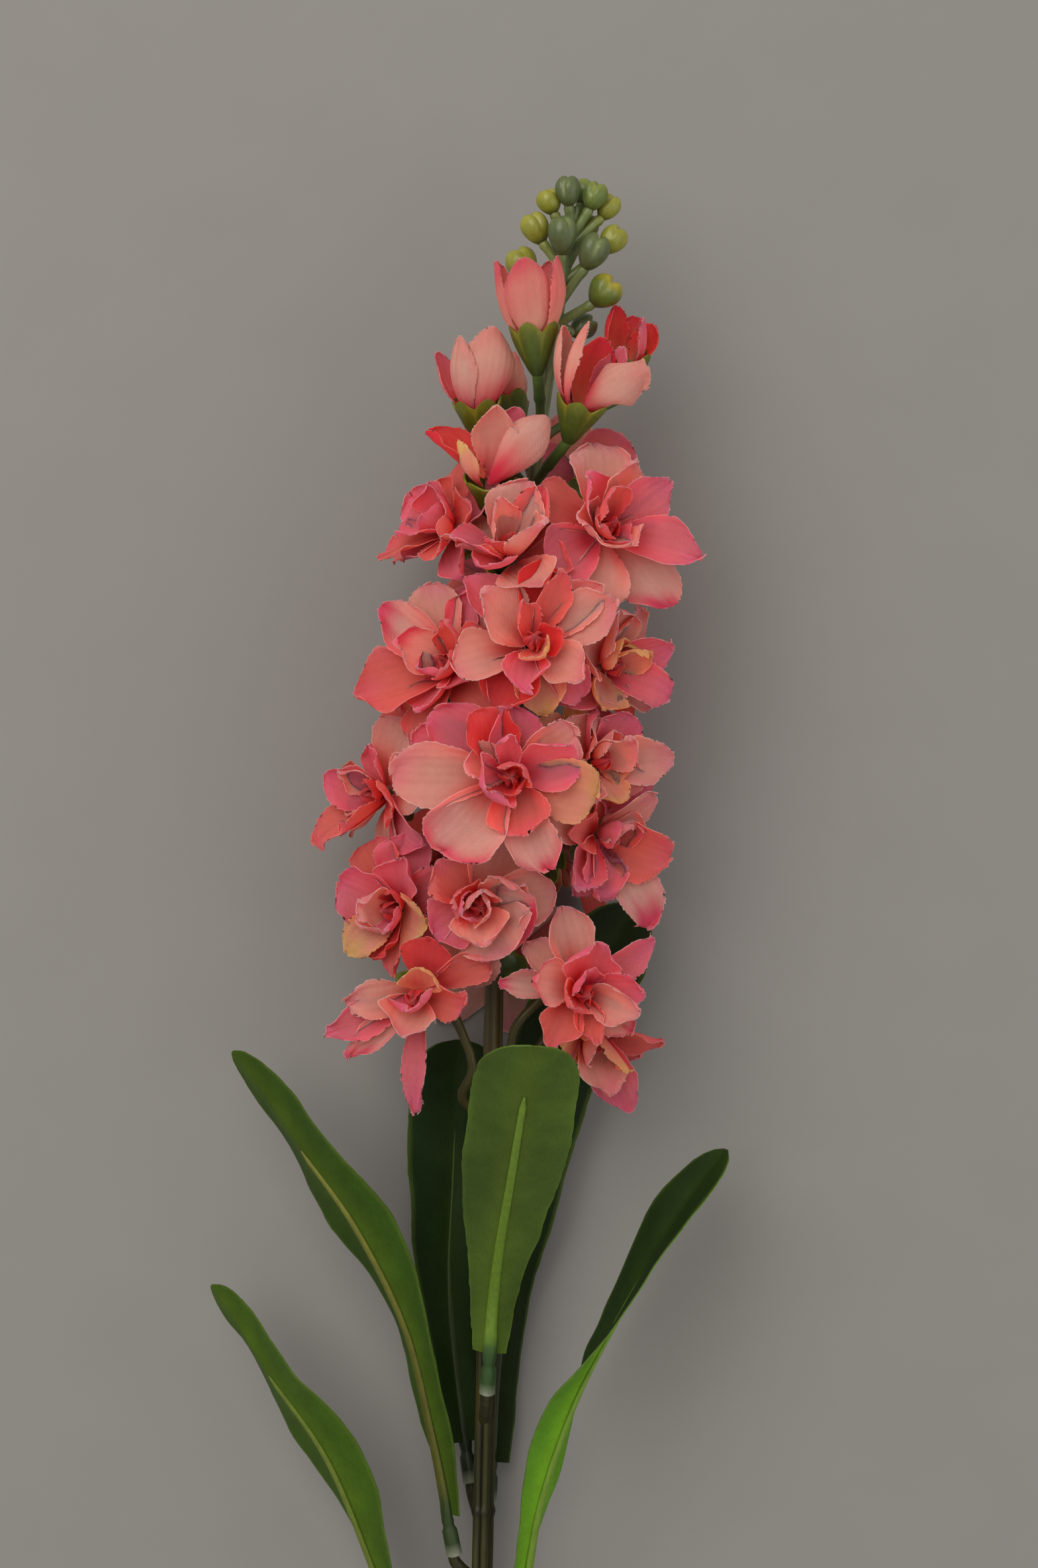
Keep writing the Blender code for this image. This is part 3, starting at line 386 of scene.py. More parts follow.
# %% Pressed cloth of the leaves
def leaf_material(name, roughness, sheen):
    """A cloth with fine upright ribs, a little mottled and sprinkled with dark flecks."""
    finish, tree, shader = new_material(name)
    flat = carried_pattern(tree)
    ribs = bands(tree, flat, "X", Scale=0.55, Distortion=0.8, Detail=2.0, Detail_Scale=0.3)
    picks = bands(tree, flat, "Y", Scale=0.6, Distortion=0.8)
    flecks = noise(tree, stretched(tree, flat, (2.4, 0.5, 1.0)), 1.0, 3.0, 0.7)
    clouds = noise(tree, flat, 0.12, 4.0)
    weave = summed(tree, ribs, times(tree, picks, 0.6))
    shade = times(tree, ranged(tree, weave, 0.0, 1.6, 0.88, 1.08), spread(tree, clouds, 0.86, 1.12))
    shade = times(tree, shade, ranged(tree, flecks, 0.3, 0.45, 0.7, 1.0))
    shade_dye(tree, shader, shade, spread(tree, flecks, roughness + 0.06, roughness - 0.06))
    bumped(tree, shader, summed(tree, weave, flecks), 0.00012, 0.5)
    fixed(shader, Sheen_Weight=sheen, Sheen_Roughness=0.4, Subsurface_Weight=0.08,
          Subsurface_Radius=(0.4, 1.0, 0.2), Subsurface_Scale=0.0015, Specular_IOR_Level=0.14)
    return finish


# %% Moulded plastics
def plastic_material(name, roughness, coat, glow, streaks):
    """Soft moulded plastic: flow streaks, faint mottling and a worn shine."""
    finish, tree, shader = new_material(name)
    place = own_place(tree)
    flow = noise(tree, stretched(tree, place, (900.0, 60.0, 900.0)), 1.0, 4.0)
    mottle = noise(tree, place, 420.0, 4.0, 0.65)
    shade = times(tree, spread(tree, flow, 1.0 - streaks, 1.0 + streaks), spread(tree, mottle, 0.9, 1.1))
    shade_dye(tree, shader, shade, spread(tree, mottle, roughness + 0.08, roughness - 0.06))
    bumped(tree, shader, summed(tree, flow, mottle), 0.0001, 0.35)
    fixed(shader, Coat_Weight=coat, Coat_Roughness=0.12, Subsurface_Weight=glow,
          Subsurface_Radius=(0.7, 1.0, 0.3), Subsurface_Scale=0.002, Specular_IOR_Level=0.35)
    return finish


SATIN = satin_material()
LEAF_UPPER = leaf_material("leaf_upper", 0.55, 0.0)
LEAF_UNDER = leaf_material("leaf_under", 0.75, 0.03)
# Each plastic has a roughness, a coat, a glow from within and streaks.
STEM_PLASTIC = plastic_material("olive_plastic", 0.5, 0.03, 0.0, 0.25)
CALYX_PLASTIC = plastic_material("calyx_plastic", 0.45, 0.1, 0.1, 0.12)
TIP_PLASTIC = plastic_material("tip_plastic", 0.34, 0.25, 0.45, 0.1)
RIB_PLASTIC = plastic_material("rib_plastic", 0.48, 0.06, 0.2, 0.12)
PLASTICS = (STEM_PLASTIC, CALYX_PLASTIC, TIP_PLASTIC, RIB_PLASTIC)
print("materials:", [finish.name for finish in (SATIN, LEAF_UPPER, LEAF_UNDER, *PLASTICS)])


def finished(thing, slot, nodes, *materials):
    """Give a piece its materials, let it ride on the flower and stand for its solids."""
    thing.data.materials.clear()
    for finish in materials:
        thing.data.materials.append(finish)
    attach(thing, "root")
    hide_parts(*nodes)


# %% [markdown]
# ## The blooms and the coloured buds
#
# Each bloom is measured by its heart, where its petals are rooted, by the way that it faces, and
# by the way from the heart to each petal's tip. The blooms that the viewer sees are listed petal
# by petal, with the dye that each petal took. Those at the back follow a rule.

# %% Dyes of the petals, as root, body, tip and edge
DYES = {name: [linear(rgb) for rgb in shades] for name, shades in {
    "peach": ((228, 60, 56), (250, 140, 127), (247, 120, 124), (251, 184, 174)),
    "blush": ((232, 68, 64), (250, 148, 137), (243, 64, 92), (250, 160, 158)),
    "mauve": ((202, 32, 52), (242, 97, 111), (242, 84, 110), (249, 156, 156)),
    "salmon": ((190, 26, 28), (247, 94, 86), (247, 88, 98), (249, 144, 134)),
    "rose": ((196, 26, 44), (249, 98, 109), (249, 92, 118), (250, 158, 156)),
    "cream": ((236, 80, 74), (249, 132, 112), (240, 150, 96), (244, 164, 104)),
    # The deep dye is a dark red; on the core petals of each heart it is painted shade.
    "deep": ((148, 20, 26), (218, 48, 50), (232, 66, 70), (240, 96, 90)),
    "bud_top": ((248, 150, 130), (246, 122, 112), (240, 78, 92), (248, 136, 130)),
    "bud_pale": ((230, 34, 66), (246, 148, 134), (244, 128, 120), (248, 168, 156)),
    "bud_cream": ((226, 34, 62), (246, 142, 126), (236, 168, 104), (242, 174, 120)),
    "bud_red": ((244, 102, 74), (238, 58, 56), (232, 40, 56), (246, 104, 94)),
}.items()}
print("dyes:", ", ".join(DYES))

# %% Blooms that face the viewer
# A row has the heart, the facing, the slope of the calyx and the petals. A petal has its layer, the
# way to its tip, its width and its dye.
BLOOMS = {
    "bloom_01": ((-11, 448, 5), (-0.75, 0.4, 0.5), 0.0, (
        ("outer", (-13, 10, -3), 17, "rose"), ("outer", (-21, -9, 0), 14, "salmon"),
        ("outer", (-16, -2, 5), 14, "rose"), ("middle", (-7, 12, 8), 17, "mauve"),
        ("inner", (-9, 3, 10), 11, "rose"))),
    "bloom_02": ((5, 438, 22), (0.0, 0.75, 0.66), 0.3, (
        ("outer", (4, 24, 1), 20, "peach"), ("outer", (12, 20, 3), 14, "salmon"),
        ("outer", (-16, 5, 10), 17, "rose"), ("middle", (9, 9, 15), 16, "peach"),
        ("middle", (-4, 16, 9), 12, "peach"), ("outer", (14, 17, -3), 14, "salmon"))),
    "bloom_03": ((31, 446, 16), (0.4, 0.3, 0.86), 0.0, (
        ("outer", (27, -7, 2), 18, "rose"), ("outer", (19, -25, -2), 19, "blush"),
        ("outer", (19, 14, 0), 16, "rose"), ("outer", (-2, 27, -3), 21, "peach"),
        ("middle", (8, 20, 4), 15, "peach"), ("middle", (-4, 15, 11), 15, "rose"),
        ("middle", (-7, 4, 14), 14, "peach"), ("middle", (8, -5, 14), 15, "peach"),
        ("inner", (3, 12, 13), 13, "salmon"))),
    "bloom_04": ((-11, 407, 18), (-0.5, 0.4, 0.77), 0.0, (
        ("outer", (-20, 18, -3), 16, "blush"), ("outer", (-27, -8, -2), 23, "salmon"),
        ("outer", (-7, 26, -6), 17, "peach"), ("middle", (-16, 9, 7), 14, "blush"),
        ("middle", (4, 23, 1), 11, "mauve"), ("middle", (4, -3, 15), 14, "rose"),
        ("inner", (-2, 13, 10), 10, "salmon"))),
    "bloom_05": ((11, 413, 30), (0.1, 0.3, 0.95), 0.0, (
        ("outer", (-21, 23, -3), 15, "rose"), ("outer", (3, 28, -3), 15, "deep"),
        ("outer", (25, 13, 1), 16, "peach"), ("outer", (17, -16, -1), 14, "rose"),
        ("outer", (3, -20, 4), 16, "cream"), ("middle", (-14, 14, 8), 17, "peach"),
        ("middle", (9, 21, 8), 9, "salmon"), ("middle", (20, 19, 2), 12, "peach"),
        ("inner", (-3, 12, 10), 9, "salmon"))),
    "bloom_06": ((30, 408, 12), (0.75, 0.1, 0.65), 0.0, (
        ("outer", (12, 17, -3), 14, "peach"), ("outer", (21, 6, -1), 14, "rose"),
        ("outer", (21, -8, 1), 13, "rose"), ("outer", (3, -11, 6), 14, "peach"),
        ("middle", (6, 16, 9), 19, "peach"), ("middle", (14, 5, 8), 12, "cream"))),
    "bloom_07": ((5, 377, 34), (0.02, -0.02, 1.0), 0.0, (
        ("outer", (-35, 1, 2), 19, "peach"), ("outer", (-20, -26, 2), 25, "blush"),
        ("outer", (10, -30, 2), 17, "blush"), ("outer", (28, -6, 2), 19, "cream"),
        ("outer", (20, 12, 2), 17, "peach"), ("outer", (-24, 24, -4), 17, "mauve"),
        ("outer", (-29, 17, -6), 15, "mauve"), ("middle", (-9, 18, 8), 15, "deep"),
        ("middle", (1, 20, 5), 14, "mauve"), ("middle", (18, 7, 7), 16, "rose"),
        ("middle", (4, -17, 7), 16, "salmon"), ("inner", (-1, 12, 13), 7, "rose"),
        ("inner", (-8, -4, 12), 16, "rose"), ("inner", (-12, 4, 9), 12, "peach"),
        ("inner", (3, 3, 13), 11, "salmon"), ("inner", (1, -5, 11), 10, "deep"))),
    "bloom_08": ((-30, 372, 4), (-0.85, 0.0, 0.52), 0.0, (
        ("outer", (-18, 5, 0), 16, "mauve"), ("outer", (-21, -14, 0), 15, "salmon"),
        ("outer", (1, 18, -2), 12, "peach"), ("outer", (2, -19, 2), 14, "peach"),
        ("middle", (-13, -11, 7), 13, "salmon"), ("middle", (-5, 14, 6), 10, "rose"),
        ("inner", (-6, 4, 9), 9, "deep"))),
    "bloom_09": ((27, 381, 14), (0.7, 0.15, 0.7), 0.0, (
        ("outer", (12, 15, 2), 15, "mauve"), ("outer", (24, 1, 0), 15, "peach"),
        ("outer", (9, -13, 7), 12, "cream"), ("outer", (2, 12, 9), 13, "peach"),
        ("middle", (13, 5, 9), 12, "peach"))),
    "bloom_10": ((29, 361, 12), (0.7, -0.25, 0.66), 0.0, (
        ("outer", (17, 12, -2), 14, "peach"), ("outer", (21, -7, 1), 20, "salmon"),
        ("outer", (17, -27, -4), 15, "blush"), ("outer", (1, -18, 6), 17, "rose"),
        ("middle", (10, 3, 10), 12, "peach"), ("outer", (-5, -18, -1), 12, "rose"))),
    "bloom_11": ((-26, 340, 9), (-0.6, -0.1, 0.8), 0.0, (
        ("outer", (-18, 7, -1), 20, "mauve"), ("outer", (-16, -13, 1), 13, "cream"),
        ("outer", (15, 8, 9), 15, "rose"), ("outer", (20, -12, 9), 10, "mauve"),
        ("outer", (-2, -20, 5), 9, "salmon"), ("middle", (-12, 1, 8), 12, "peach"),
        ("inner", (-3, 5, 10), 9, "deep"))),
    "bloom_12": ((-5, 342, 22), (0.2, -0.2, 0.95), 0.0, (
        ("outer", (23, 4, -1), 20, "peach"), ("outer", (-11, 10, 4), 16, "salmon"),
        ("outer", (17, -5, 4), 24, "blush"), ("outer", (10, -14, 5), 23, "peach"),
        ("outer", (-12, -9, 2), 18, "rose"), ("middle", (14, 4, 9), 18, "peach"),
        ("middle", (3, -12, 9), 17, "peach"), ("middle", (-6, 2, 10), 13, "salmon"),
        ("inner", (2, 3, 12), 12, "peach"), ("inner", (-4, -3, 11), 10, "rose"),
        ("inner", (4, -3, 12), 10, "peach"))),
    "bloom_13": ((-20, 317, 24), (-0.25, -0.3, 0.92), 0.0, (
        ("outer", (3, 17, 0), 16, "deep"), ("outer", (-26, -12, 0), 12, "rose"),
        ("outer", (23, 13, -1), 12, "salmon"), ("outer", (-20, -18, -1), 10, "blush"),
        ("outer", (-2, -34, -3), 8, "rose"), ("outer", (-21, -3, 4), 12, "peach"),
        ("middle", (-6, -12, 8), 17, "peach"), ("middle", (12, -3, 8), 12, "salmon"),
        ("inner", (0, 7, 10), 13, "cream"), ("inner", (-3, -5, 11), 14, "rose"))),
    "bloom_14": ((24, 317, 20), (0.3, -0.15, 0.94), 0.0, (
        ("outer", (-6, 26, -1), 17, "peach"), ("outer", (-17, 15, 2), 11, "peach"),
        ("outer", (-25, 4, 6), 9, "blush"), ("outer", (21, 14, -1), 12, "rose"),
        ("outer", (15, -12, 3), 12, "blush"), ("middle", (5, 14, 10), 16, "rose"),
        ("middle", (18, 0, 7), 11, "mauve"), ("middle", (16, -5, 10), 13, "peach"),
        ("inner", (6, -14, 8), 9, "salmon"))),
    "bloom_15": ((27, 306, 6), (0.4, -0.75, 0.53), 0.0, (
        ("outer", (21, -4, 2), 15, "salmon"), ("outer", (12, -24, -2), 14, "mauve"),
        ("outer", (-7, -9, 1), 9, "rose"), ("middle", (6, -19, 6), 15, "peach"),
        ("middle", (11, -12, 9), 11, "cream"))),
}
print("blooms in sight:", len(BLOOMS))

# %% Buds in colour
# The rows are the same, with a steep calyx. A petal that leaves its bud sideways has a facing of
# its own.
BUDS = {
    "bud_01": ((12, 500, 14), (-0.08, 1.0, 0.05), 1.4, (
        ("bud", (-10.5, 23.5, -2), 15, "bud_top"), ("bud", (4, 24, -6), 15, "bud_top"),
        ("bud", (6.5, 24, 3.5), 14, "bud_top"), ("bud", (-3, 22.5, 8.5), 16, "bud_top"))),
    "bud_02": ((38, 495, -3), (0.1, 0.95, 0.3), 1.4, (
        ("bud", (-3, 18, 2), 14, "bud_red"), ("bud", (8, 13, -2), 12, "bud_red"),
        ("bud", (5, 14, 5), 10, "rose"), ("bud", (3, 16, -6), 12, "bud_red"))),
    "bud_03": ((-4, 480, 9), (-0.12, 0.95, 0.25), 1.4, (
        ("bud", (-11.5, 18, -3), 13, "rose"), ("bud", (2, 24.5, -6), 15, "bud_cream"),
        ("bud", (-5, 21, 7), 14, "bud_pale"),
        ("bud", (5.5, 25, 5), 18, "bud_pale", (0.15, 0.98, -0.12)))),
    "bud_04": ((24, 480, 18), (0.3, 0.9, 0.3), 1.2, (
        ("bud", (-4, 24, 1), 16, "bud_pale"), ("bud", (7, 21, -3), 16, "bud_red"),
        ("bud", (13, 18, -2), 13, "rose"), ("bud", (3, 23.5, 7), 13, "bud_pale"),
        ("inner", (19, 11.5, 6), 15, "bud_pale", (0.87, 0.43, -0.25)))),
    "bud_05": ((-1, 460, 17), (0.05, 0.9, 0.42), 0.8, (
        ("middle", (-17, 15, -1), 15, "bud_red"), ("bud", (7, 22, -3), 16, "rose"),
        ("bud", (-8, 11, 9), 12, "bud_cream"), ("bud", (2, 20.5, 7), 17, "bud_pale"),
        ("bud", (18, 19, 3), 15, "bud_pale", (0.62, 0.72, -0.3)))),
    "bud_06": ((4, 483, -12), (-0.25, 0.85, -0.45), 1.2, (
        ("bud", (2, 18, -2), 14, "bud_pale"), ("bud", (-7, 15, -3), 14, "rose"),
        ("bud", (-3, 13, -11), 15, "bud_pale"), ("bud", (2, 14, -12), 13, "bud_pale"))),
}
print("coloured buds:", len(BUDS))

# %% Blooms at the back, by a rule
BACK_BLOOMS = (   # height on the spike, and turn round it in degrees
    (324, 182), (346, 132), (356, -128), (380, 178), (401, 124), (411, -126), (434, 176), (458, -138))
BACK_HEART_OUT = 22.0
BACK_LOWEST = 328.0   # lower petals would lie on the leaves
BACK_LIFT = 0.3
BACK_LAYERS = (   # layer, number of petals, reach, height over the heart and width
    ("outer", 5, 25.0, 5.0, 20.0), ("middle", 2, 15.0, 10.0, 14.0))
BACK_DYES = ("peach", "rose", "salmon", "mauve", "blush", "peach", "salmon", "cream")
BACK_WANDER = 0.2
BACK_SPREAD = (0.9, 1.1)
BLOOM_REACH = 26.0   # room that a bloom or bud takes, and how far its middle is over its heart
BLOOM_CENTRE = 7.0
BUD_REACH = 13.0
BUD_CENTRE = 10.0
OWN_REACH = {"bloom_01": 22.0, "bloom_02": 20.0, "bud_03": 15.0, "bud_04": 19.0, "bud_05": 18.0}
ACROSS_HINT = (0.12, 1.0, 0.31)   # no bloom faces this way


class Bloom:
    """A bloom or bud: heart, facing, slope of its calyx and its petals."""

    def __init__(self, name, row, reach, centre):
        heart, facing, slope, petals = row
        self.name = name
        self.heart = np.asarray(heart, dtype=float)
        self.facing = unit(facing)
        self.slope = slope
        self.petals = list(petals)
        self.reach = OWN_REACH.get(name, reach)
        self.site = self.heart + self.facing * centre
        self.side = unit(np.cross(self.facing, ACROSS_HINT))
        self.up = np.cross(self.side, self.facing)


def back_bloom_row(index, height, turn):
    """Two layers of petals, each petal a little different."""
    chance = Random(index)
    angle = radians(turn)
    outward = np.array((-sin(angle), 0.0, cos(angle)))
    facing = unit(outward + (0.0, BACK_LIFT, 0.0))
    heart = axis_at(height) + outward * BACK_HEART_OUT
    side = unit(np.cross(facing, (0.0, 1.0, 0.0)))
    up = np.cross(side, facing)
    petals = []
    for layer, count, reach, near, width in BACK_LAYERS:
        start = chance.uniform(0.0, 2 * pi)
        for i in range(count):
            around = start + 2 * pi * i / count + chance.uniform(-BACK_WANDER, BACK_WANDER)
            long = reach * chance.uniform(*BACK_SPREAD)
            tip = long * (side * cos(around) + up * sin(around)) + facing * near
            dye = BACK_DYES[(index * 3 + i * 2 + len(petals)) % len(BACK_DYES)]
            if heart[1] + tip[1] > BACK_LOWEST:
                petals.append((layer, tuple(tip), width * chance.uniform(*BACK_SPREAD), dye))
    return heart, facing, 0.0, petals


blooms = [Bloom(name, row, BLOOM_REACH, BLOOM_CENTRE) for name, row in BLOOMS.items()]
for index, (height, turn) in enumerate(BACK_BLOOMS):
    row = back_bloom_row(index, height, turn)
    blooms.append(Bloom(f"bloom_{len(BLOOMS) + index + 1:02d}", row, BLOOM_REACH, BLOOM_CENTRE))
blooms.extend(Bloom(name, row, BUD_REACH, BUD_CENTRE) for name, row in BUDS.items())
print("blooms and buds:", len(blooms))

# %% [markdown]
# The list has the petals that the photograph shows. A real bloom of this make is threaded with up
# to seven outer petals, five in the middle and three at the heart. So the widest gaps of each layer
# are filled, with each petal's size, height and dye drawn from a seeded chance.

# %% Fill the gaps of each layer
FULL_LAYERS = (   # layer, number of petals, reach, height over the heart and width
    ("outer", 7, 26.0, -1.0, 20.0), ("middle", 5, 17.0, 7.0, 15.0), ("inner", 3, 7.0, 12.0, 11.0))
LEAST_GAP = {"outer": 1.15, "middle": 1.75, "inner": 2.2}   # no petal is added in a smaller one
FILL_SEED = 100
GAP_PLACE = (0.42, 0.58)
SIZE_SPREAD = (0.85, 1.1)
HEIGHT_SPREAD = (0.8, 1.2)
CORE_WAYS = (0.6, 2.7, 4.8)   # three small petals close the middle of each bloom
CORE_LEAN = 0.3
CORE_HIGH_TIP = 9.0
CORE_WIDTH = 7.5
LAYERS_AS_SEEN = {   # blooms of which the photograph shows the whole layer
    "outer": ("bloom_07", "bloom_13", "bloom_14", "bloom_15"),
    "middle": ("bloom_03", "bloom_07", "bloom_12", "bloom_13"),
    "inner": ("bloom_01", "bloom_07", "bloom_12", "bloom_13"),
}


def tip_at(bloom, way, reach, high):
    """The way to a tip that lies at this angle round the facing."""
    return reach * (bloom.side * cos(way) + bloom.up * sin(way)) + bloom.facing * high


def ways_of(bloom, layer):
    """The angles at which the petals of a layer stand round the facing, from the least."""
    tips = (row[1] for row in bloom.petals if row[0] == layer)
    return sorted(atan2(np.dot(tip, bloom.up), np.dot(tip, bloom.side)) for tip in tips)


def fill_layers(bloom, chance):
    seen = [row[3] for row in bloom.petals]
    # The core petals take the deep dye, which here is painted shade: it closes the dark heart of each
    # bloom.
    for way in CORE_WAYS:
        tip = tip_at(bloom, way, CORE_LEAN, CORE_HIGH_TIP)
        bloom.petals.append(("core", tuple(tip), CORE_WIDTH, "deep"))
    for layer, count, reach, near, width in FULL_LAYERS:
        if bloom.name in LAYERS_AS_SEEN.get(layer, ()):
            continue
        ways = ways_of(bloom, layer) or [chance.uniform(-pi, pi)]
        while len(ways) < count:
            after = ways[1:] + [ways[0] + 2 * pi]
            gap, start = max((end - start, start) for start, end in zip(ways, after))
            if gap < LEAST_GAP[layer]:
                break
            way = start + gap * chance.uniform(*GAP_PLACE)
            long = reach * chance.uniform(*SIZE_SPREAD)
            high = near * chance.uniform(*HEIGHT_SPREAD)
            wide = width * chance.uniform(*SIZE_SPREAD)
            bloom.petals.append((layer, tuple(tip_at(bloom, way, long, high)), wide, chance.choice(seen)))
            ways = sorted(ways + [(way + pi) % (2 * pi) - pi])


for number, bloom in enumerate(blooms):
    if not bloom.name.startswith("bud"):
        fill_layers(bloom, Random(FILL_SEED + number))
print("petals:", sum(len(bloom.petals) for bloom in blooms))

# %% [markdown]
# ## Room for each bloom
#
# Neighbours press on one another, so a petal's points are eased back where they would enter the
# next bloom's room, the core of stalks, the calyx or the table. The nearer a point is to such
# a limit, the more it is slowed, so that a petal bends rather than breaks.

# %% Ease points away from neighbours
NEIGHBOUR_REACH = 95.0
CELL_BAND = 3.5    # within it a limit slows a point down
CELL_GIVE = 0.16   # petals of two blooms may cross a little
CORE_LOW = 11.5    # radius of the core of stalks, low and high on the spike
CORE_HIGH = 4.0
CORE_TAPER_FOOT = 430.0
CORE_TAPER_LENGTH = 60.0
CORE_BAND = 2.0
EASING_ROUNDS = 4
SHEET_FLOOR = -2.5
FLOOR_BAND = 1.5
BUD_LEVEL = 2.6
BUD_RIM = 9.0
OPEN_LEVEL = 10.0
OPEN_DROOP = 0.8
TABLE_CLEARANCE = 0.3
LEAF_FENCES = {   # a point on the fence and the way to stay, for blooms that lie close to a leaf
    "bloom_10": (((30, 340, -8), (0.0, 0.0, 1.0)),),
    "bloom_14": (((30, 310, -7), (0.0, 0.0, 1.0)),),
    "bloom_15": (((30, 310, -7), (0.0, 0.0, 1.0)),),
    "bloom_16": (((24, 310, -19), (-0.35, 0.0, -1.0)),),
    "bloom_18": (((30, 340, -19), (0.0, 0.35, -1.0)),),
}


def soft_floor(depth, band):
    """A depth that eases out above zero instead of crossing it."""
    near = band * np.exp(np.minimum(0.0, depth - band) / band)
    return np.where(depth >= band, depth, near)


def cell_limits(bloom):
    """Planes that part a bloom's room from its neighbours': normal inwards, and distance."""
    limits = []
    for other in blooms:
        way = bloom.site - other.site
        apart = np.linalg.norm(way)
        if other is bloom or apart > NEIGHBOUR_REACH:
            continue
        normal = way / apart
        share = (apart ** 2 + other.reach ** 2 - bloom.reach ** 2) / (2 * apart)
        limits.append((normal, normal @ (other.site + normal * share)))
    return limits


def above_calyx(points, bloom):
    """Keep points off the calyx, which rises round a bud and droops under an open bloom."""
    offset = points - bloom.heart
    lift = offset @ bloom.facing
    radius = np.linalg.norm(offset - lift[:, None] * bloom.facing, axis=1)
    if bloom.slope > 0.0:
        low = SHEET_FLOOR + bloom.slope * np.maximum(0.0, np.minimum(radius, BUD_RIM) - BUD_LEVEL)
    else:
        low = SHEET_FLOOR - OPEN_DROOP * np.maximum(0.0, radius - OPEN_LEVEL)
    return points + (soft_floor(lift - low, FLOOR_BAND) + low - lift)[:, None] * bloom.facing


def outside_core(points):
    """Keep points out of the core of stalks, which thins towards the tip."""
    away = points - axis_at(points[:, 1])
    away[:, 1] = 0.0
    reach = np.linalg.norm(away, axis=1)
    taper = np.clip((points[:, 1] - CORE_TAPER_FOOT) / CORE_TAPER_LENGTH, 0.0, 1.0)
    core = CORE_LOW + (CORE_HIGH - CORE_LOW) * taper
    push = soft_floor(reach - core, CORE_BAND) + core - reach
    return points + away / np.maximum(reach, 0.01)[:, None] * push[:, None]


def kept_clear(points, bloom, limits):
    """Ease the points of a petal into its bloom's own room, above the table."""
    for _ in range(EASING_ROUNDS):
        points = above_calyx(points, bloom)
        for normal, distance in limits:
            depth = points @ normal - distance
            ease = CELL_GIVE * (soft_floor(depth, CELL_BAND) - depth)
            points = points + ease[:, None] * normal
        for start, normal in LEAF_FENCES.get(bloom.name, ()):
            normal = unit(normal)
            depth = (points - np.asarray(start)) @ normal
            points = points + (soft_floor(depth, CELL_BAND) - depth)[:, None] * normal
        points = outside_core(points)
    height = points @ TABLE_UP + STEM_RADIUS - TABLE_CLEARANCE
    return points + (soft_floor(height, CELL_BAND) - height)[:, None] * TABLE_UP


# %% [markdown]
# ## One petal
#
# A petal is cut flat from satin, pressed hot in a mould that bends it along its length and rolls
# it across, and its cut edge frays. The blank is a grid, drawn in to a disc so that no edge ends
# in a corner, with its rows crowded towards the edge. Extra points along the edge carry the
# fray. A formula then gives each copy its outline, bend, roll, twist, curl and waves.

# %% The blank that all petals are cut from
def petal_blank(name, across, along):
    blank = flat_grid(name, across, along)
    bpy.ops.object.mode_set(mode="EDIT")
    bpy.ops.mesh.select_mode(type="EDGE")
    bpy.ops.mesh.select_all(action="DESELECT")
    bpy.ops.mesh.select_non_manifold()
    bpy.ops.mesh.subdivide(number_cuts=2)
    bpy.ops.mesh.select_mode(type="VERT")
    bpy.ops.object.mode_set(mode="OBJECT")
    square = points_of(blank.data)
    crowded = 1.5 * square - 0.5 * square ** 3
    s, t = crowded[:, 0], crowded[:, 1]
    disc = np.column_stack([s * np.sqrt(1 - t ** 2 / 2), t * np.sqrt(1 - s ** 2 / 2)])
    rim = np.max(np.abs(square[:, :2]), axis=1) > ON_EDGE
    print(name, "has", len(square), "points,", int(rim.sum()), "of them on its edge")
    return blank, disc, rim


front_blank = petal_blank("petal_blank", across=12, along=14)
back_blank = petal_blank("back_petal_blank", across=8, along=10)

# %% What a petal's layer gives it
LAYERS = {   # bend along, roll across, root out, root up
    "outer": (0.3, 0.48, 1.6, -0.9),
    "middle": (-0.12, 0.85, 1.6, 0.9),
    "inner": (-0.45, 1.15, 1.2, 2.0),
    "core": (-0.5, 1.35, 1.0, 1.6),
    "bud": (-0.56, 1.0, 2.3, -1.4),
}
FULLER = {"outer": 1.0, "middle": 1.18, "inner": 1.2, "core": 1.0, "bud": 1.0}   # of a cut petal
HABITS = {   # least and most of: tip curl, edge waves, extra twist, extra roll, then frill
    "outer": ((-0.4, 1.0), (0.03, 0.1), (-0.3, 0.3), (-0.1, 0.5), 0.16),
    "middle": ((-0.7, 0.9), (0.03, 0.09), (-0.25, 0.25), (-0.1, 0.45), 0.16),
    "inner": ((-0.5, 0.6), (0.02, 0.07), (-0.25, 0.25), (-0.1, 0.3), 0.12),
    "core": ((-0.1, 0.1), (0.0, 0.03), (-0.1, 0.1), (-0.1, 0.1), 0.03),
    "bud": ((-0.1, 0.3), (0.0, 0.015), (-0.15, 0.05), (-0.05, 0.1), 0.03),
}
POINTED = {   # how pointed a bloom's petals are, where not as most
    "bloom_01": 0.8, "bloom_02": 0.5, "bloom_03": 0.85, "bloom_04": 0.75, "bloom_05": 0.6,
    "bloom_06": 0.3, "bloom_07": 0.2, "bloom_08": 0.7, "bloom_09": 0.3, "bloom_12": 0.35,
    "bloom_13": 0.8, "bloom_14": 0.75, "bloom_15": 0.8, "bud_03": 0.35, "bud_04": 0.5, "bud_05": 0.35,
}
POINTED_MOST = 0.5
POINTED_BUD = 0.15
POINTED_SPREAD = 0.3
WAVE_COUNT = (1.2, 2.4)
CREASE_MOST = 3.5   # of the frill
PETAL_TWIST = 0.2
PHASES = 8


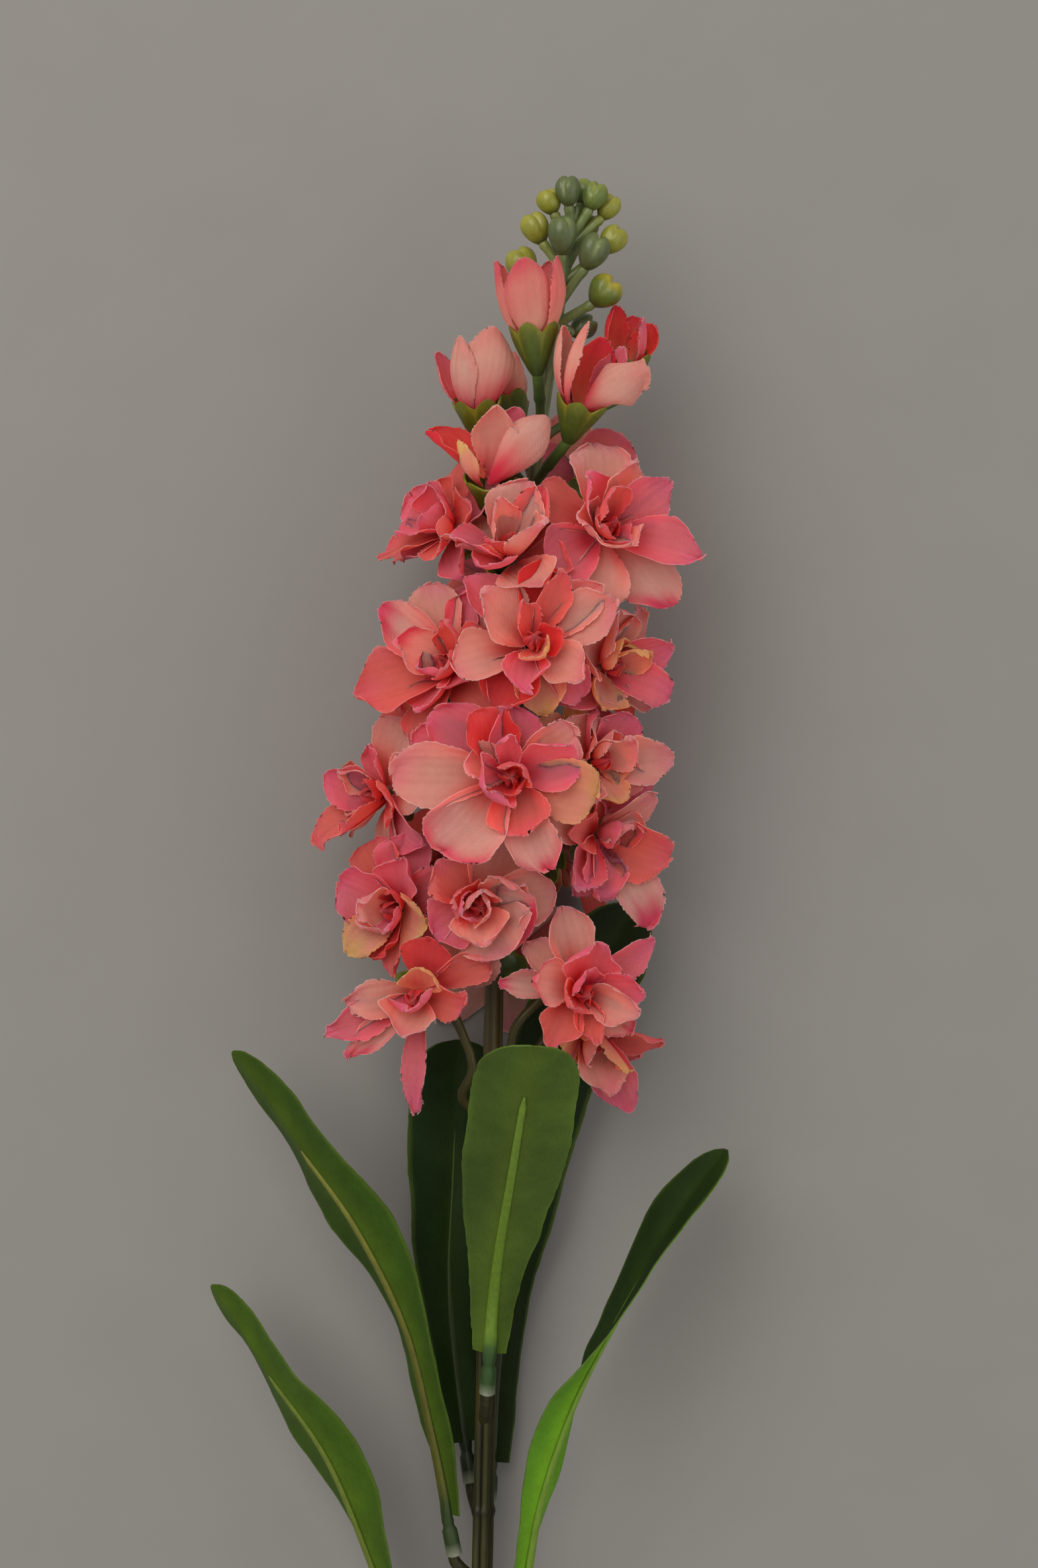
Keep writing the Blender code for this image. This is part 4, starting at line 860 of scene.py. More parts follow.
class Looks:
    """What makes one petal unlike the next."""

    def __init__(self, layer, pointed, chance):
        curl, waves, twist, roll, self.frill = HABITS[layer]
        self.curl = chance.uniform(*curl)
        self.waves = chance.uniform(*waves)
        self.wave_count = chance.uniform(*WAVE_COUNT)
        self.point = min(1.0, max(0.0, pointed + chance.uniform(-POINTED_SPREAD, POINTED_SPREAD)))
        self.crease = chance.uniform(0.0, CREASE_MOST) * self.frill
        self.twist = PETAL_TWIST + chance.uniform(*twist)
        self.roll = chance.uniform(*roll)
        self.phases = [chance.uniform(0.0, 2 * pi) for _ in range(PHASES)]
        self.blush_side = chance.uniform(-1.0, 1.0)
        self.margin = chance.uniform(0.0, 1.0)


# %% The form of one petal
CLAWS = {"outer": 0.42, "middle": 0.58, "inner": 0.8, "core": 0.8, "bud": 0.42}   # width at the root
FULLEST = 1.12       # beside the disc
FULLEST_AT = 0.84    # of the length
FULL_POWER = 1.15
POINT_NARROWS = 0.62
POINT_LENGTHENS = 0.06
FINE_STEPS = 48
CURL_FROM = 0.66
FRAY = 0.17
GROWN = (0.25, 0.9)  # where waves and pleats begin along a petal, and where they are full
WAVE_POWER = 2.2
FRILL_COUNT = 3.4
FRILL_POWER = 6
PLEAT = 0.32
PLEATS_ACROSS = 8.5
CREASE_HALF = 0.16


def girth(v, point, layer):
    """How wide a petal is beside the disc that it is drawn from: a narrow claw, a full middle."""
    claw = CLAWS[layer]
    full = claw + (FULLEST - claw) * np.sin(pi / 2 * np.clip(v / FULLEST_AT, 0.0, 1.0)) ** FULL_POWER
    return full * (1.0 - POINT_NARROWS * point * rise(v, 0.6, 1.02))


def petal_line(facing, out, lean, bend, curl, length):
    """The middle line of a petal: even steps, and the angle from the facing and the place at each."""
    steps = np.linspace(0.0, 1.0, FINE_STEPS)
    angles = lean - bend + 2 * bend * steps + curl * rise(steps, CURL_FROM, 1.1)
    heading = np.outer(np.cos(angles), facing) + np.outer(np.sin(angles), out)
    line = np.vstack([np.zeros(3), np.cumsum((heading[1:] + heading[:-1]) / 2, axis=0)])
    return steps, angles, line * (length / (FINE_STEPS - 1))


def petal_relief(u, v, from_middle, width, looks):
    """How far waves, frill, pressed pleats and a crease lift the cloth off the smooth form."""
    first, second, third = looks.phases[:3]
    grown = rise(v, *GROWN)
    wave = np.sin(2 * pi * looks.wave_count * v + first + 1.9 * np.sign(u) + second * u)
    waves = looks.waves * width * np.abs(u) ** WAVE_POWER * wave * grown
    frill = looks.frill * np.sin(2 * pi * FRILL_COUNT * v + 5.0 * u + looks.phases[6])
    frill = frill * from_middle ** FRILL_POWER
    pleats = PLEAT * np.sin(u * PLEATS_ACROSS + third) * grown * (0.4 + 0.6 * np.abs(u))
    crease = -looks.crease * np.exp(-(u / CREASE_HALF) ** 2) * grown
    return waves + frill * grown + pleats + crease


def petal_points(disc, rim, bloom, petal, looks, threads):
    """Points of one petal in the plant's frame, and its flat cut."""
    layer, tip, width, _, *own = petal
    bend, roll, root_out, root_up = LAYERS[layer]
    width = width * FULLER[layer]
    roll = roll + looks.roll
    frayed = disc * (1.0 + rim * threads * (2 * FRAY / width))[:, None]
    v = np.clip((frayed[:, 1] + 1) / 2, 0.0, 1.0)
    wide = np.sqrt(np.maximum(1.0 - np.clip(disc[:, 1], -1.0, 1.0) ** 2, 1e-6))
    u = np.clip(frayed[:, 0] / wide, -1.1, 1.1)
    facing = unit(own[0]) if own else bloom.facing
    tip = np.asarray(tip, dtype=float)
    out = unit(tip - facing * (tip @ facing))
    side = np.cross(facing, out)
    root = out * root_out + facing * root_up
    reach = tip - root
    lean = atan2(reach @ out, reach @ facing)
    length = np.linalg.norm(reach) * bend / sin(bend) * (1.0 + POINT_LENGTHENS * looks.point)
    steps, angles, line = petal_line(facing, out, lean, bend, looks.curl, length)
    middle = np.column_stack([np.interp(v, steps, line[:, i]) for i in range(3)])
    angle = np.interp(v, steps, angles)
    inward = np.outer(np.sin(angle), facing) - np.outer(np.cos(angle), out)
    turn = (looks.twist * (0.4 + 0.6 * v))[:, None]
    side_here = side * np.cos(turn) + inward * np.sin(turn)
    inward = inward * np.cos(turn) - side * np.sin(turn)
    half = width / 2 * girth(v, looks.point, layer) * wide
    round_off = (half / roll)[:, None]
    across = (u * roll)[:, None]
    points = bloom.heart + root + middle + side_here * (round_off * np.sin(across))
    points += inward * (round_off * (1.0 - np.cos(across)))
    normal = inward * np.cos(across) - side_here * np.sin(across)
    points += normal * petal_relief(u, v, np.hypot(u, disc[:, 1]), width, looks)[:, None]
    return points, np.column_stack([half * u, length * v])


# %% The dye of one petal
DEEP_TO = 0.5        # how far up the deep dye of the root reaches
DEEP_TO_OF_BUDS = 0.62
BLUSH_MOST = 0.6
STREAKS_ACROSS = 17.0
STREAK_DEEP = 0.03
MARGIN_MOST = 0.4
RIM_PALE = 0.4


def petal_dye(disc, rim, petal, looks):
    """Where the dye is deep, pale or tipped on one petal."""
    root, body, tip, edge = DYES[petal[3]]
    v = (disc[:, 1] + 1) / 2
    u = disc[:, 0]
    first, second, third, fourth = looks.phases[2:6]
    wander = 0.07 * np.sin(3.0 * u + first) + 0.04 * np.sin(8.0 * u + second)
    deep_to = DEEP_TO_OF_BUDS if petal[0] == "bud" else DEEP_TO
    colour = mixed(root, body, rise(v + wander, 0.04, deep_to))
    colour = mixed(colour, tip, rise(v + 1.3 * wander, 0.66, 0.97))
    blush = rise(u * np.sign(looks.blush_side) + 0.2 * np.sin(5 * v + third), 0.3, 1.1)
    colour = mixed(colour, tip, BLUSH_MOST * abs(looks.blush_side) * blush * rise(v, 0.25, 0.7))
    streaks = 1.0 + STREAK_DEEP * np.sin(STREAKS_ACROSS * u + fourth) * rise(v, 0.1, 0.5)
    colour = colour * streaks[:, None]
    outwards = np.hypot(u, disc[:, 1]) + 0.06 * np.sin(9.0 * np.arctan2(disc[:, 1], u) + first)
    colour = mixed(colour, tip, MARGIN_MOST * looks.margin * rise(outwards, 0.55, 1.0))
    return mixed(colour, edge, RIM_PALE * rim)


# %% All petals of a bloom, joined and given the thickness of satin
PETAL_SEED = 500
SATIN_THICK = 0.22
SATIN_ANGLE = 55.0
PATTERN_STEP = 37.0   # so that no two petals show the same part of the weave


def petals_of(bloom, chance):
    limits = cell_limits(bloom)
    at_back = bloom.name.startswith("bloom") and int(bloom.name[-2:]) > len(BLOOMS)
    blank, disc, rim = back_blank if at_back else front_blank
    pointed = POINTED.get(bloom.name, POINTED_BUD if bloom.name.startswith("bud") else POINTED_MOST)
    pieces = []
    for index, petal in enumerate(bloom.petals):
        looks = Looks(petal[0], pointed, chance)
        threads = np.array([chance.gauss(0.0, 1.0) if on_rim else 0.0 for on_rim in rim])
        points, flat = petal_points(disc, rim, bloom, petal, looks, threads)
        piece = copy_of(blank, f"{bloom.name}_petal_{index}")
        move_points(piece.data, laid(kept_clear(points, bloom, limits)))
        paint(piece.data, petal_dye(disc, rim, petal, looks))
        lay_pattern(piece.data, flat + (PATTERN_STEP * index, 0.0))
        pieces.append(piece)
    whole = joined(f"{bloom.name}_petals", pieces)
    solid = whole.modifiers.new("satin", "SOLIDIFY")
    solid.thickness = SATIN_THICK * MM
    solid.offset = 0.0
    apply_modifiers(whole)
    smoothed(whole, SATIN_ANGLE)
    return whole


faces = 0
for number, bloom in enumerate(blooms):
    petals = petals_of(bloom, Random(PETAL_SEED + number))
    kind = "bud" if bloom.name.startswith("bud") else "petal"
    finished(petals, kind, [bloom.name], SATIN)
    faces += len(petals.data.polygons)
for blank in (front_blank, back_blank):
    bpy.data.objects.remove(blank[0])
print("petals made:", sum(len(bloom.petals) for bloom in blooms), "with", faces, "faces")

# %% [markdown]
# ## The stem
#
# The stem is moulded as five parallel strands, with a small ring at each place where a leaf is
# pushed on. A cylinder cut in rings takes that section: every ring is moved to its place on the
# leaning axis, and its points are drawn in between the strands.

# %% Rods bent along a line
def frames_along(line):
    """The way along a line, and two ways across it that turn as little as they can."""
    ahead = unit(np.gradient(line, axis=0))
    side = unit(np.cross(ahead[0], (0.3, 0.2, 1.0)))
    sides = []
    for way in ahead:
        side = unit(side - way * (side @ way))
        sides.append(side)
    sides = np.array(sides)
    return ahead, sides, np.cross(ahead, sides)


def ring_places(thing):
    """The ring that each point of a straight rod is on, and its place in a ring of radius 1."""
    straight = points_of(thing.data)
    heights = np.unique(np.round(straight[:, 2], 4))
    return np.searchsorted(heights, np.round(straight[:, 2], 4)), straight[:, :2]


def bend_rod(thing, middles, sides, ups, swell=1.0):
    """Move each ring of a straight rod to its middle, as wide as the two ways across say."""
    ring, flat = ring_places(thing)
    flat = flat * np.reshape(swell, (-1, 1))
    points = middles[ring] + sides[ring] * flat[:, :1] + ups[ring] * flat[:, 1:]
    move_points(thing.data, laid(points))
    return ring


def round_rod(name, line, radii, around):
    """A plain rod along a line, whose radius changes from ring to ring."""
    rod = ringed_cylinder(name, around, len(line) - 1)
    _, sides, ups = frames_along(line)
    radii = np.reshape(radii, (-1, 1))
    ring = bend_rod(rod, line, sides * radii, ups * radii)
    return rod, ring


# %% Strands moulded side by side
STRANDS = 5
STRAND_SHARE = 0.42
STEM_RINGS = (34.0, 104.0, 166.0, 222.0)
RING_SWELL = 0.16
RING_HALF = 1.3
RING_FILL = 0.55   # of a groove
RING_STATIONS = (-2.4, -1.6, -1.0, -0.5, 0.0, 0.5, 1.0, 1.6, 2.4)
WOBBLE = 0.018
PLASTIC_ANGLE = 40.0
# The plain olive of the ridges, a darker olive painted as the shade in the grooves between the strands,
# and a lighter one painted as a highlight on the ridges.
OLIVE_RIDGE, OLIVE_SHADE = linear((50, 48, 10)), linear((20, 19, 3))
OLIVE_HIGHLIGHT = linear((70, 66, 18))


def strand_section(angle, deep):
    """Radius of five round strands side by side, 1 on the ridges."""
    turn = 2 * pi / STRANDS
    off = (angle + turn / 2) % turn - turn / 2
    middle = 1.0 - STRAND_SHARE
    fluted = middle * np.cos(off) + np.sqrt(STRAND_SHARE ** 2 - (middle * np.sin(off)) ** 2)
    return 1.0 + (fluted - 1.0) * deep


def strand_rod(name, heights, radii, rings, around):
    """A length of stem: its middle line, strands, and rings that fill the grooves a little."""
    rod = ringed_cylinder(name, around, len(heights) - 1)
    ring, flat = ring_places(rod)
    angle = np.arctan2(flat[:, 1], flat[:, 0])
    near = np.zeros(len(heights))
    for height in rings:
        near = np.maximum(near, np.exp(-((heights - height) / RING_HALF) ** 2))
    deep = 1.0 - RING_FILL * near[ring]
    wobble = 1.0 + WOBBLE * np.sin(heights[ring] * 0.21 + 2.0 * np.sin(angle))
    section = strand_section(angle, deep) * (1.0 + RING_SWELL * near[ring]) * wobble
    line = axis_at(heights)
    sides = np.tile((1.0, 0.0, 0.0), (len(heights), 1)) * radii[:, None]
    ups = np.tile((0.0, 0.0, 1.0), (len(heights), 1)) * radii[:, None]
    bend_rod(rod, line, sides, ups, section)
    # 1 on the ridges and 0 deep in the grooves; it places the painted highlight and the painted shade.
    ridge = rise(strand_section(angle, 1.0), 0.72, 0.97)
    return rod, heights[ring], ridge, near[ring]


def with_stations(low, high, count, extra):
    """Even heights, with more of them round each ring."""
    heights = list(np.linspace(low, high, count))
    for height in extra:
        heights.extend(height + offset for offset in RING_STATIONS)
    return np.unique(np.round(heights, 3))


stem_heights = with_stations(0.0, STEM_END, count=50, extra=STEM_RINGS)
stem_radii = STEM_RADIUS + (STEM_TOP_RADIUS - STEM_RADIUS) * stem_heights / STEM_END
rod, at_height, ridge, near = strand_rod("stem_strands", stem_heights, stem_radii, STEM_RINGS,
                                         around=60)
# Painted shade in the grooves between the strands, a painted highlight in patches along the ridges, and a
# darker stem round each ring.
shade = mixed(OLIVE_SHADE, OLIVE_RIDGE, ridge)
shade = mixed(shade, OLIVE_HIGHLIGHT, 0.35 * ridge * rise(np.sin(at_height * 0.13 + 1.0), 0.2, 1.0))
paint(rod.data, mixed(shade, OLIVE_SHADE, 0.5 * near))
stem_pieces = [rod]
print("stem strands:", len(rod.data.polygons), "faces")

# %% [markdown]
# ## The leaves
#
# A leaf is stamped from stiff ribbed cloth and pressed with a fold and waved edges. A moulded
# rib is fixed under it, and the rib's lower end is a sleeve that is pushed on a peg of the stem.
# The blade starts as a flat grid. Its outline is narrow and cut square at the base and round
# at the tip, with the small nicks of a stamped edge.

# %% Lines of the leaves
# A leaf has its width and its line from the stem outwards. With each point of the line goes the way
# of the leaf's upper face.
LEAVES = {
    "leaf_1": (27.0, (((-17, 97, 3), (0.75, 0.55, -0.4)), ((-24, 125, 5), (0.7, 0.55, -0.45)),
                      ((-34, 153, 8), (0.7, 0.5, -0.5)), ((-47, 184, 10), (0.65, 0.5, -0.55)),
                      ((-65, 209, 8), (0.6, 0.6, -0.55)), ((-81, 231, 2), (0.6, 0.6, -0.5)))),
    "leaf_2": (27.0, (((-12, 166, 4), (0.8, 0.3, -0.5)), ((-17, 191, 7), (0.8, 0.25, -0.55)),
                      ((-24, 220, 11), (0.75, 0.3, -0.6)), ((-38, 249, 13), (0.65, 0.45, -0.6)),
                      ((-54, 271, 10), (0.6, 0.5, -0.6)), ((-75, 298, 2), (0.6, 0.6, -0.5)))),
    "leaf_3": (28.0, (((-8, 184, -9), (0.2, -0.1, 1.0)), ((-11, 206, -13), (0.2, -0.1, 1.0)),
                      ((-13, 232, -15), (0.15, 0.0, 1.0)), ((-12, 258, -17), (0.15, 0.1, 1.0)),
                      ((-11, 281, -17), (0.1, 0.1, 1.0)), ((-10, 300, -18), (0.1, 0.2, 1.0)))),
    "leaf_4": (28.0, (((-1, 213, 9), (0.0, 0.2, -1.0)), ((0, 228, 15), (0.05, 0.4, -0.9)),
                      ((2, 247, 33), (0.05, 0.6, -0.8)), ((5, 267, 57), (0.1, 0.7, -0.7)),
                      ((8, 288, 83), (0.1, 0.7, -0.7)), ((11, 308, 105), (0.1, 0.65, -0.75)))),
    "leaf_5": (27.0, (((0, 178, -9), (0.4, -0.1, 0.9)), ((2, 208, -13), (0.4, 0.0, 0.9)),
                      ((6, 243, -14), (0.3, 0.0, 0.95)), ((13, 278, -13), (0.15, 0.1, 1.0)),
                      ((24, 310, -13), (0.0, 0.1, 1.0)), ((42, 339, -14), (-0.1, 0.2, 1.0)))),
    "leaf_6": (26.0, (((4, 116, 4), (-0.85, 0.2, -0.5)), ((9, 150, 8), (-0.85, 0.25, -0.5)),
                      ((13, 172, 11), (-0.8, 0.3, -0.5)), ((22, 199, 14), (-0.8, 0.4, -0.35)),
                      ((33, 221, 14), (-0.75, 0.5, 0.0)), ((49, 247, 9), (-0.65, 0.6, 0.4)),
                      ((67, 270, 2), (-0.6, 0.6, 0.5)))),
}

LEAF_OUTLINE = curve_through(((0.0, 0.34), (0.3, 0.54), (0.45, 0.78), (0.65, 0.98), (0.85, 0.99),
                              (1.0, 0.95)), 200)
ROUND_FROM = {"leaf_1": 0.62, "leaf_2": 0.66, "leaf_6": 0.68}   # where the tip begins
ROUND_FROM_MOST = 0.86
LEAF_FOLD = 0.16
LEAF_WAVES = 2.5
LEAF_WAVE_DEEP = 0.15
FINE_WAVES = 7.0
FINE_WAVE_DEEP = 0.012
SAGS = 11.0
SAG_DEEP = 0.1
EDGE_WAVES = 6.0
EDGE_WANDER = 0.012
NICK = 0.09
CHANNEL_DEEP = 0.7
CHANNEL_HALF = 3.2
CLOTH_THICK = 0.45
LEAF_ROWS = 64
LEAF_COLUMNS = 16
LEAF_STEPS = 121


def leaf_line(name, places):
    """Middle, way across, way of the upper face and half width at places from 0 to 1."""
    width, rows = LEAVES[name]
    steps = np.linspace(0.0, 1.0, LEAF_STEPS)
    line = curve_through([row[0] for row in rows], LEAF_STEPS)
    looks = curve_through([row[1] for row in rows], LEAF_STEPS)
    ahead = unit(np.gradient(line, axis=0))
    across = unit(np.cross(ahead, looks))
    upper = np.cross(across, ahead)
    half = width / 2 * np.interp(steps, LEAF_OUTLINE[:, 0], LEAF_OUTLINE[:, 1])
    start = ROUND_FROM.get(name, ROUND_FROM_MOST)
    end = np.clip((steps - start) / (1.0 - start), 0.0, 0.998)
    half = half * np.sqrt(1.0 - end ** 2.4)

    def at(values):
        return np.column_stack([np.interp(places, steps, values[:, i]) for i in range(3)])

    return at(line), at(across), at(upper), np.interp(places, steps, half)


# %% Blades
# Leaves 3 and 5 lie at the back and take far darker shades than the rest: painted shade on top of the
# dye.
LEAF_DYES_AND_SHADE = {   # upper face, its middle, under face, its middle
    "leaf_1": ((46, 76, 12), (57, 87, 14), (60, 88, 16), (74, 100, 20)),
    "leaf_2": ((42, 71, 11), (53, 80, 13), (50, 76, 14), (68, 90, 18)),
    "leaf_3": ((22, 40, 6), (32, 50, 8), (44, 66, 14), (58, 78, 18)),
    "leaf_4": ((44, 72, 18), (56, 84, 20), (74, 96, 34), (86, 106, 34)),
    "leaf_5": ((20, 36, 6), (30, 46, 8), (40, 60, 16), (54, 73, 18)),
    "leaf_6": ((31, 50, 13), (40, 59, 15), (92, 144, 30), (108, 156, 28)),
}
PALE_EDGE = linear((96, 116, 44))
PALE_EDGE_SHARE = 0.4
LEAF_SEED = 40
MIDDLE_HALF = 4.5
LEAF_ANGLE = 60.0


def leaf_length(name):
    middles = leaf_line(name, np.linspace(0.0, 1.0, 61))[0]
    return np.linalg.norm(np.diff(middles, axis=0), axis=1).sum()


def leaf_blade(name, chance):
    """A blade without thickness, and the place across, along and beside its middle of each point."""
    blade = flat_grid(f"{name}_blade", LEAF_COLUMNS, LEAF_ROWS)
    square = points_of(blade.data)
    u = square[:, 0]
    v = 1.0 - (1.0 - (square[:, 1] + 1) / 2) ** 1.35
    middle, across, upper, half = leaf_line(name, v)
    turns = [chance.uniform(0.0, 2 * pi) for _ in range(5)]
    edge = np.abs(u) > ON_EDGE
    reach = 1.0 + EDGE_WANDER * np.sin(2 * pi * EDGE_WAVES * v + turns[0] + 2.0 * u) * np.abs(u)
    nicks = np.array([chance.gauss(0.0, NICK) if on_edge else 0.0 for on_edge in edge])
    wide = half * u * reach + nicks * np.sign(u)
    fold = half * (LEAF_FOLD + LEAF_WAVE_DEEP * np.sin(2 * pi * LEAF_WAVES * v + u)) * np.abs(u)
    fine = half * FINE_WAVE_DEEP * np.sin(2 * pi * FINE_WAVES * v + turns[1] + 1.6 * np.sign(u))
    fine = fine * np.abs(u) ** 2
    sag = SAG_DEEP * np.sin(2 * pi * SAGS * v + turns[2] + 3.0 * u) * np.abs(u)
    channel = -CHANNEL_DEEP * np.exp(-(wide / CHANNEL_HALF) ** 2) * (1.0 - rise(v, 0.75, 0.95))
    points = middle + across * wide[:, None] + upper * (fold + fine + sag + channel)[:, None]
    move_points(blade.data, laid(points))
    lay_pattern(blade.data, np.column_stack([wide, v * leaf_length(name)]))
    return blade, u, v, wide


def leaf_dye_and_shade(name, u, v, wide, under):
    """Dye of one face, darker by painted shade on the leaves at the back: lighter along the middle, worn
    at the edge.
    """
    upper, upper_middle, lower, lower_middle = (linear(rgb) for rgb in LEAF_DYES_AND_SHADE[name])
    body, middle = (lower, lower_middle) if under else (upper, upper_middle)
    colour = mixed(body, middle, np.exp(-(wide / MIDDLE_HALF) ** 2))
    colour = colour * (1.0 + 0.1 * np.sin(5.0 * v + 2.0 * u))[:, None]
    return mixed(colour, PALE_EDGE, PALE_EDGE_SHARE * (np.abs(u) > ON_EDGE))


def blade_with_faces(name, chance):
    """Give the blade its thickness, an upper and an under face, and a dye for each, with painted shade on
    the leaves at the back.
    """
    blade, u, v, wide = leaf_blade(name, chance)
    count = len(blade.data.vertices)
    finished(blade, "leaf", [name], LEAF_UPPER, LEAF_UNDER)
    cloth = blade.modifiers.new("cloth", "SOLIDIFY")
    cloth.thickness = CLOTH_THICK * MM
    cloth.offset = 0.0
    cloth.material_offset = 1
    cloth.material_offset_rim = 0
    apply_modifiers(blade)
    # The modifier doubles the points. The under faces tell which half lies below.
    added = [face.vertices[0] >= count for face in blade.data.polygons if face.material_index == 1]
    faces = [leaf_dye_and_shade(name, u, v, wide, under) for under in (False, True)]
    paint(blade.data, np.vstack(faces if 2 * sum(added) > len(added) else faces[::-1]))
    smoothed(blade, LEAF_ANGLE)
    return blade


for number, name in enumerate(LEAVES):
    blade = blade_with_faces(name, Random(LEAF_SEED + number))
print("leaf blades:", len(LEAVES), "each with", len(blade.data.polygons), "faces")

# %% [markdown]
# ### Ribs and sleeves
#
# One moulding: a tube at the foot that slips on the peg, a neck, and a half round rib that
# tapers out under the blade. It is one rod whose rings are wide and flat under the blade, and
# whose first rings turn inwards to make the bore of the tube.

# %% Ribs
SLEEVE_RADIUS = 2.3
SLEEVE_LENGTH = 11.0
SLEEVE_GAP = 1.0
BORE_RADIUS = 1.75
BORE_DEEP = 2.5
RIB_SINK = 1.6
SLEEVE_PROFILE = np.array((   # place along the sleeve and radius, from inside the bore to the neck
    (BORE_DEEP, BORE_RADIUS), (0.15, BORE_RADIUS), (0.0, 1.9), (0.3, SLEEVE_RADIUS), (4.0, 2.25),
    (7.6, 2.2), (8.4, 1.75), (9.4, 1.6), (10.2, 1.8)))
RIB_PROFILE = ((0.0, 0.12, 0.4, 0.8, 0.97, 1.0), (2.1, 1.75, 1.35, 1.05, 0.8, 0.25))   # half widths
RIB_FLAT = 0.62   # half height of a half width
RIB_ROWS = 34
RIB_ENDS = {   # where a rib ends, from 0 to 1 along its blade
    "leaf_1": 0.78, "leaf_2": 0.8, "leaf_3": 0.85, "leaf_4": 0.86, "leaf_5": 0.82, "leaf_6": 0.9}
# The ribs of leaves 3 and 5, at the back, are darker: painted shade on top of their colour.
RIB_DYES_AND_SHADE = {   # sleeve, low on the blade, high on the blade
    "leaf_1": ((52, 66, 22), (86, 100, 24), (98, 114, 30)),
    "leaf_2": ((44, 60, 24), (82, 82, 22), (110, 112, 36)),
    "leaf_3": ((30, 42, 18), (44, 58, 16), (70, 90, 24)),
    "leaf_4": ((46, 74, 30), (102, 132, 36), (106, 134, 38)),
    "leaf_5": ((30, 42, 18), (42, 54, 18), (66, 80, 28)),
    "leaf_6": ((52, 76, 30), (102, 134, 34), (112, 146, 42)),
}
PALE_SLEEVE_END = linear((176, 176, 156))


def sleeve_ends(name):
    """Where a sleeve starts, at its peg, and ends, under the blade, and the way along it."""
    middle, _, upper, _ = leaf_line(name, np.array((0.0, 0.1)))
    ahead = unit(middle[1] - middle[0])
    end = middle[0] - upper[0] * RIB_SINK - ahead * SLEEVE_GAP
    return end - ahead * SLEEVE_LENGTH, end, ahead


def leaf_rib(name):
    """A sleeve, a neck and a rib in one rod, whose rings start inside the bore."""
    foot, _, ahead = sleeve_ends(name)
    places = np.linspace(0.01, RIB_ENDS[name], RIB_ROWS)
    middle, across, upper, _ = leaf_line(name, places)
    share = (places - places[0]) / (places[-1] - places[0])
    half_wide = np.interp(share, *RIB_PROFILE)
    half_high = half_wide * RIB_FLAT
    bedded = CLOTH_THICK / 2 + CHANNEL_DEEP * 0.9 + half_high * 0.35
    sink = np.maximum(bedded, RIB_SINK * (1.0 - share / 0.12))
    in_sleeve, radius = SLEEVE_PROFILE[:, :1], SLEEVE_PROFILE[:, 1:]
    middles = np.vstack([foot + ahead * in_sleeve, middle - upper * sink[:, None]])
    sides = np.vstack([across[0] * radius, across * half_wide[:, None]])
    ups = np.vstack([upper[0] * radius, upper * half_high[:, None]])
    rib_name = name.replace("leaf", "rib")
    rib = ringed_cylinder(f"{rib_name}_moulding", 20, len(middles) - 1)
    ring = bend_rod(rib, middles, sides, ups)
    sleeve_dye, low_dye, high_dye = (linear(rgb) for rgb in RIB_DYES_AND_SHADE[name])
    along = np.concatenate([np.zeros(len(radius)), 0.001 + share])
    colours = mixed(sleeve_dye, low_dye, rise(along, 0.0, 0.1))
    colours = mixed(colours, high_dye, rise(along, 0.2, 0.9))
    # The open end of the sleeve, in the bore and on its lip, is pale.
    colours[:3] = PALE_SLEEVE_END
    colours[3] = 0.5 * (PALE_SLEEVE_END + sleeve_dye)
    paint(rib.data, colours[ring])
    smoothed(rib, PLASTIC_ANGLE)
    finished(rib, "rib", [rib_name], RIB_PLASTIC)
    return rib


for name in LEAVES:
    rib = leaf_rib(name)
print("ribs:", len(LEAVES), "each with", len(rib.data.polygons), "faces")

# %% [markdown]
# ### Pegs
#
# A peg branches from the stem below each leaf and enters its sleeve. The pegs belong to the
# stem's moulding, so they are joined to the strands.

# %% Pegs, then the whole stem
PEG_RADIUS = 1.65
PEG_STRAIGHT = 2.5
PEG_RISE = 10.0
PEG_IN_SLEEVE = 1.8
PEG_ROWS = 15
PEG_TAPER = ((0.0, 0.5, 0.6, 1.0), (1.25, 1.05, 0.98, 0.94))

for name in LEAVES:
    foot, _, ahead = sleeve_ends(name)
    path = (axis_at(foot[1] - PEG_RISE), foot - ahead * PEG_STRAIGHT, foot + ahead * PEG_IN_SLEEVE)
    line = curve_through(path, PEG_ROWS)
    radii = PEG_RADIUS * np.interp(np.linspace(0.0, 1.0, PEG_ROWS), *PEG_TAPER)
    peg, ring = round_rod(f"{name}_peg", line, radii, around=24)
    # Each peg is banded darker and lighter along its length.
    paint(peg.data, mixed(OLIVE_SHADE, OLIVE_RIDGE, 0.45 + 0.4 * np.sin(ring * 1.1) ** 2))
    stem_pieces.append(peg)
stem_whole = joined("stem_moulding", stem_pieces)
smoothed(stem_whole, PLASTIC_ANGLE)
finished(stem_whole, "olive", ["stem"], STEM_PLASTIC)
print("stem:", len(stem_whole.data.polygons), "faces")

# %% [markdown]
# ## The spike: its axis, the flower stalks and the calyxes
#
# The strands go on into the spike and thin out towards its tip. Each bloom has a short stalk
# that leaves the axis and ends in a collar under its calyx.

# %% Axis of the spike
SPIKE_TOP_RADIUS = 1.9
PIECE_GAP = 0.3   # between two mouldings on the same axis
SPIKE_DYES = (linear((74, 66, 30)), linear((52, 68, 26)), linear((118, 130, 84)))

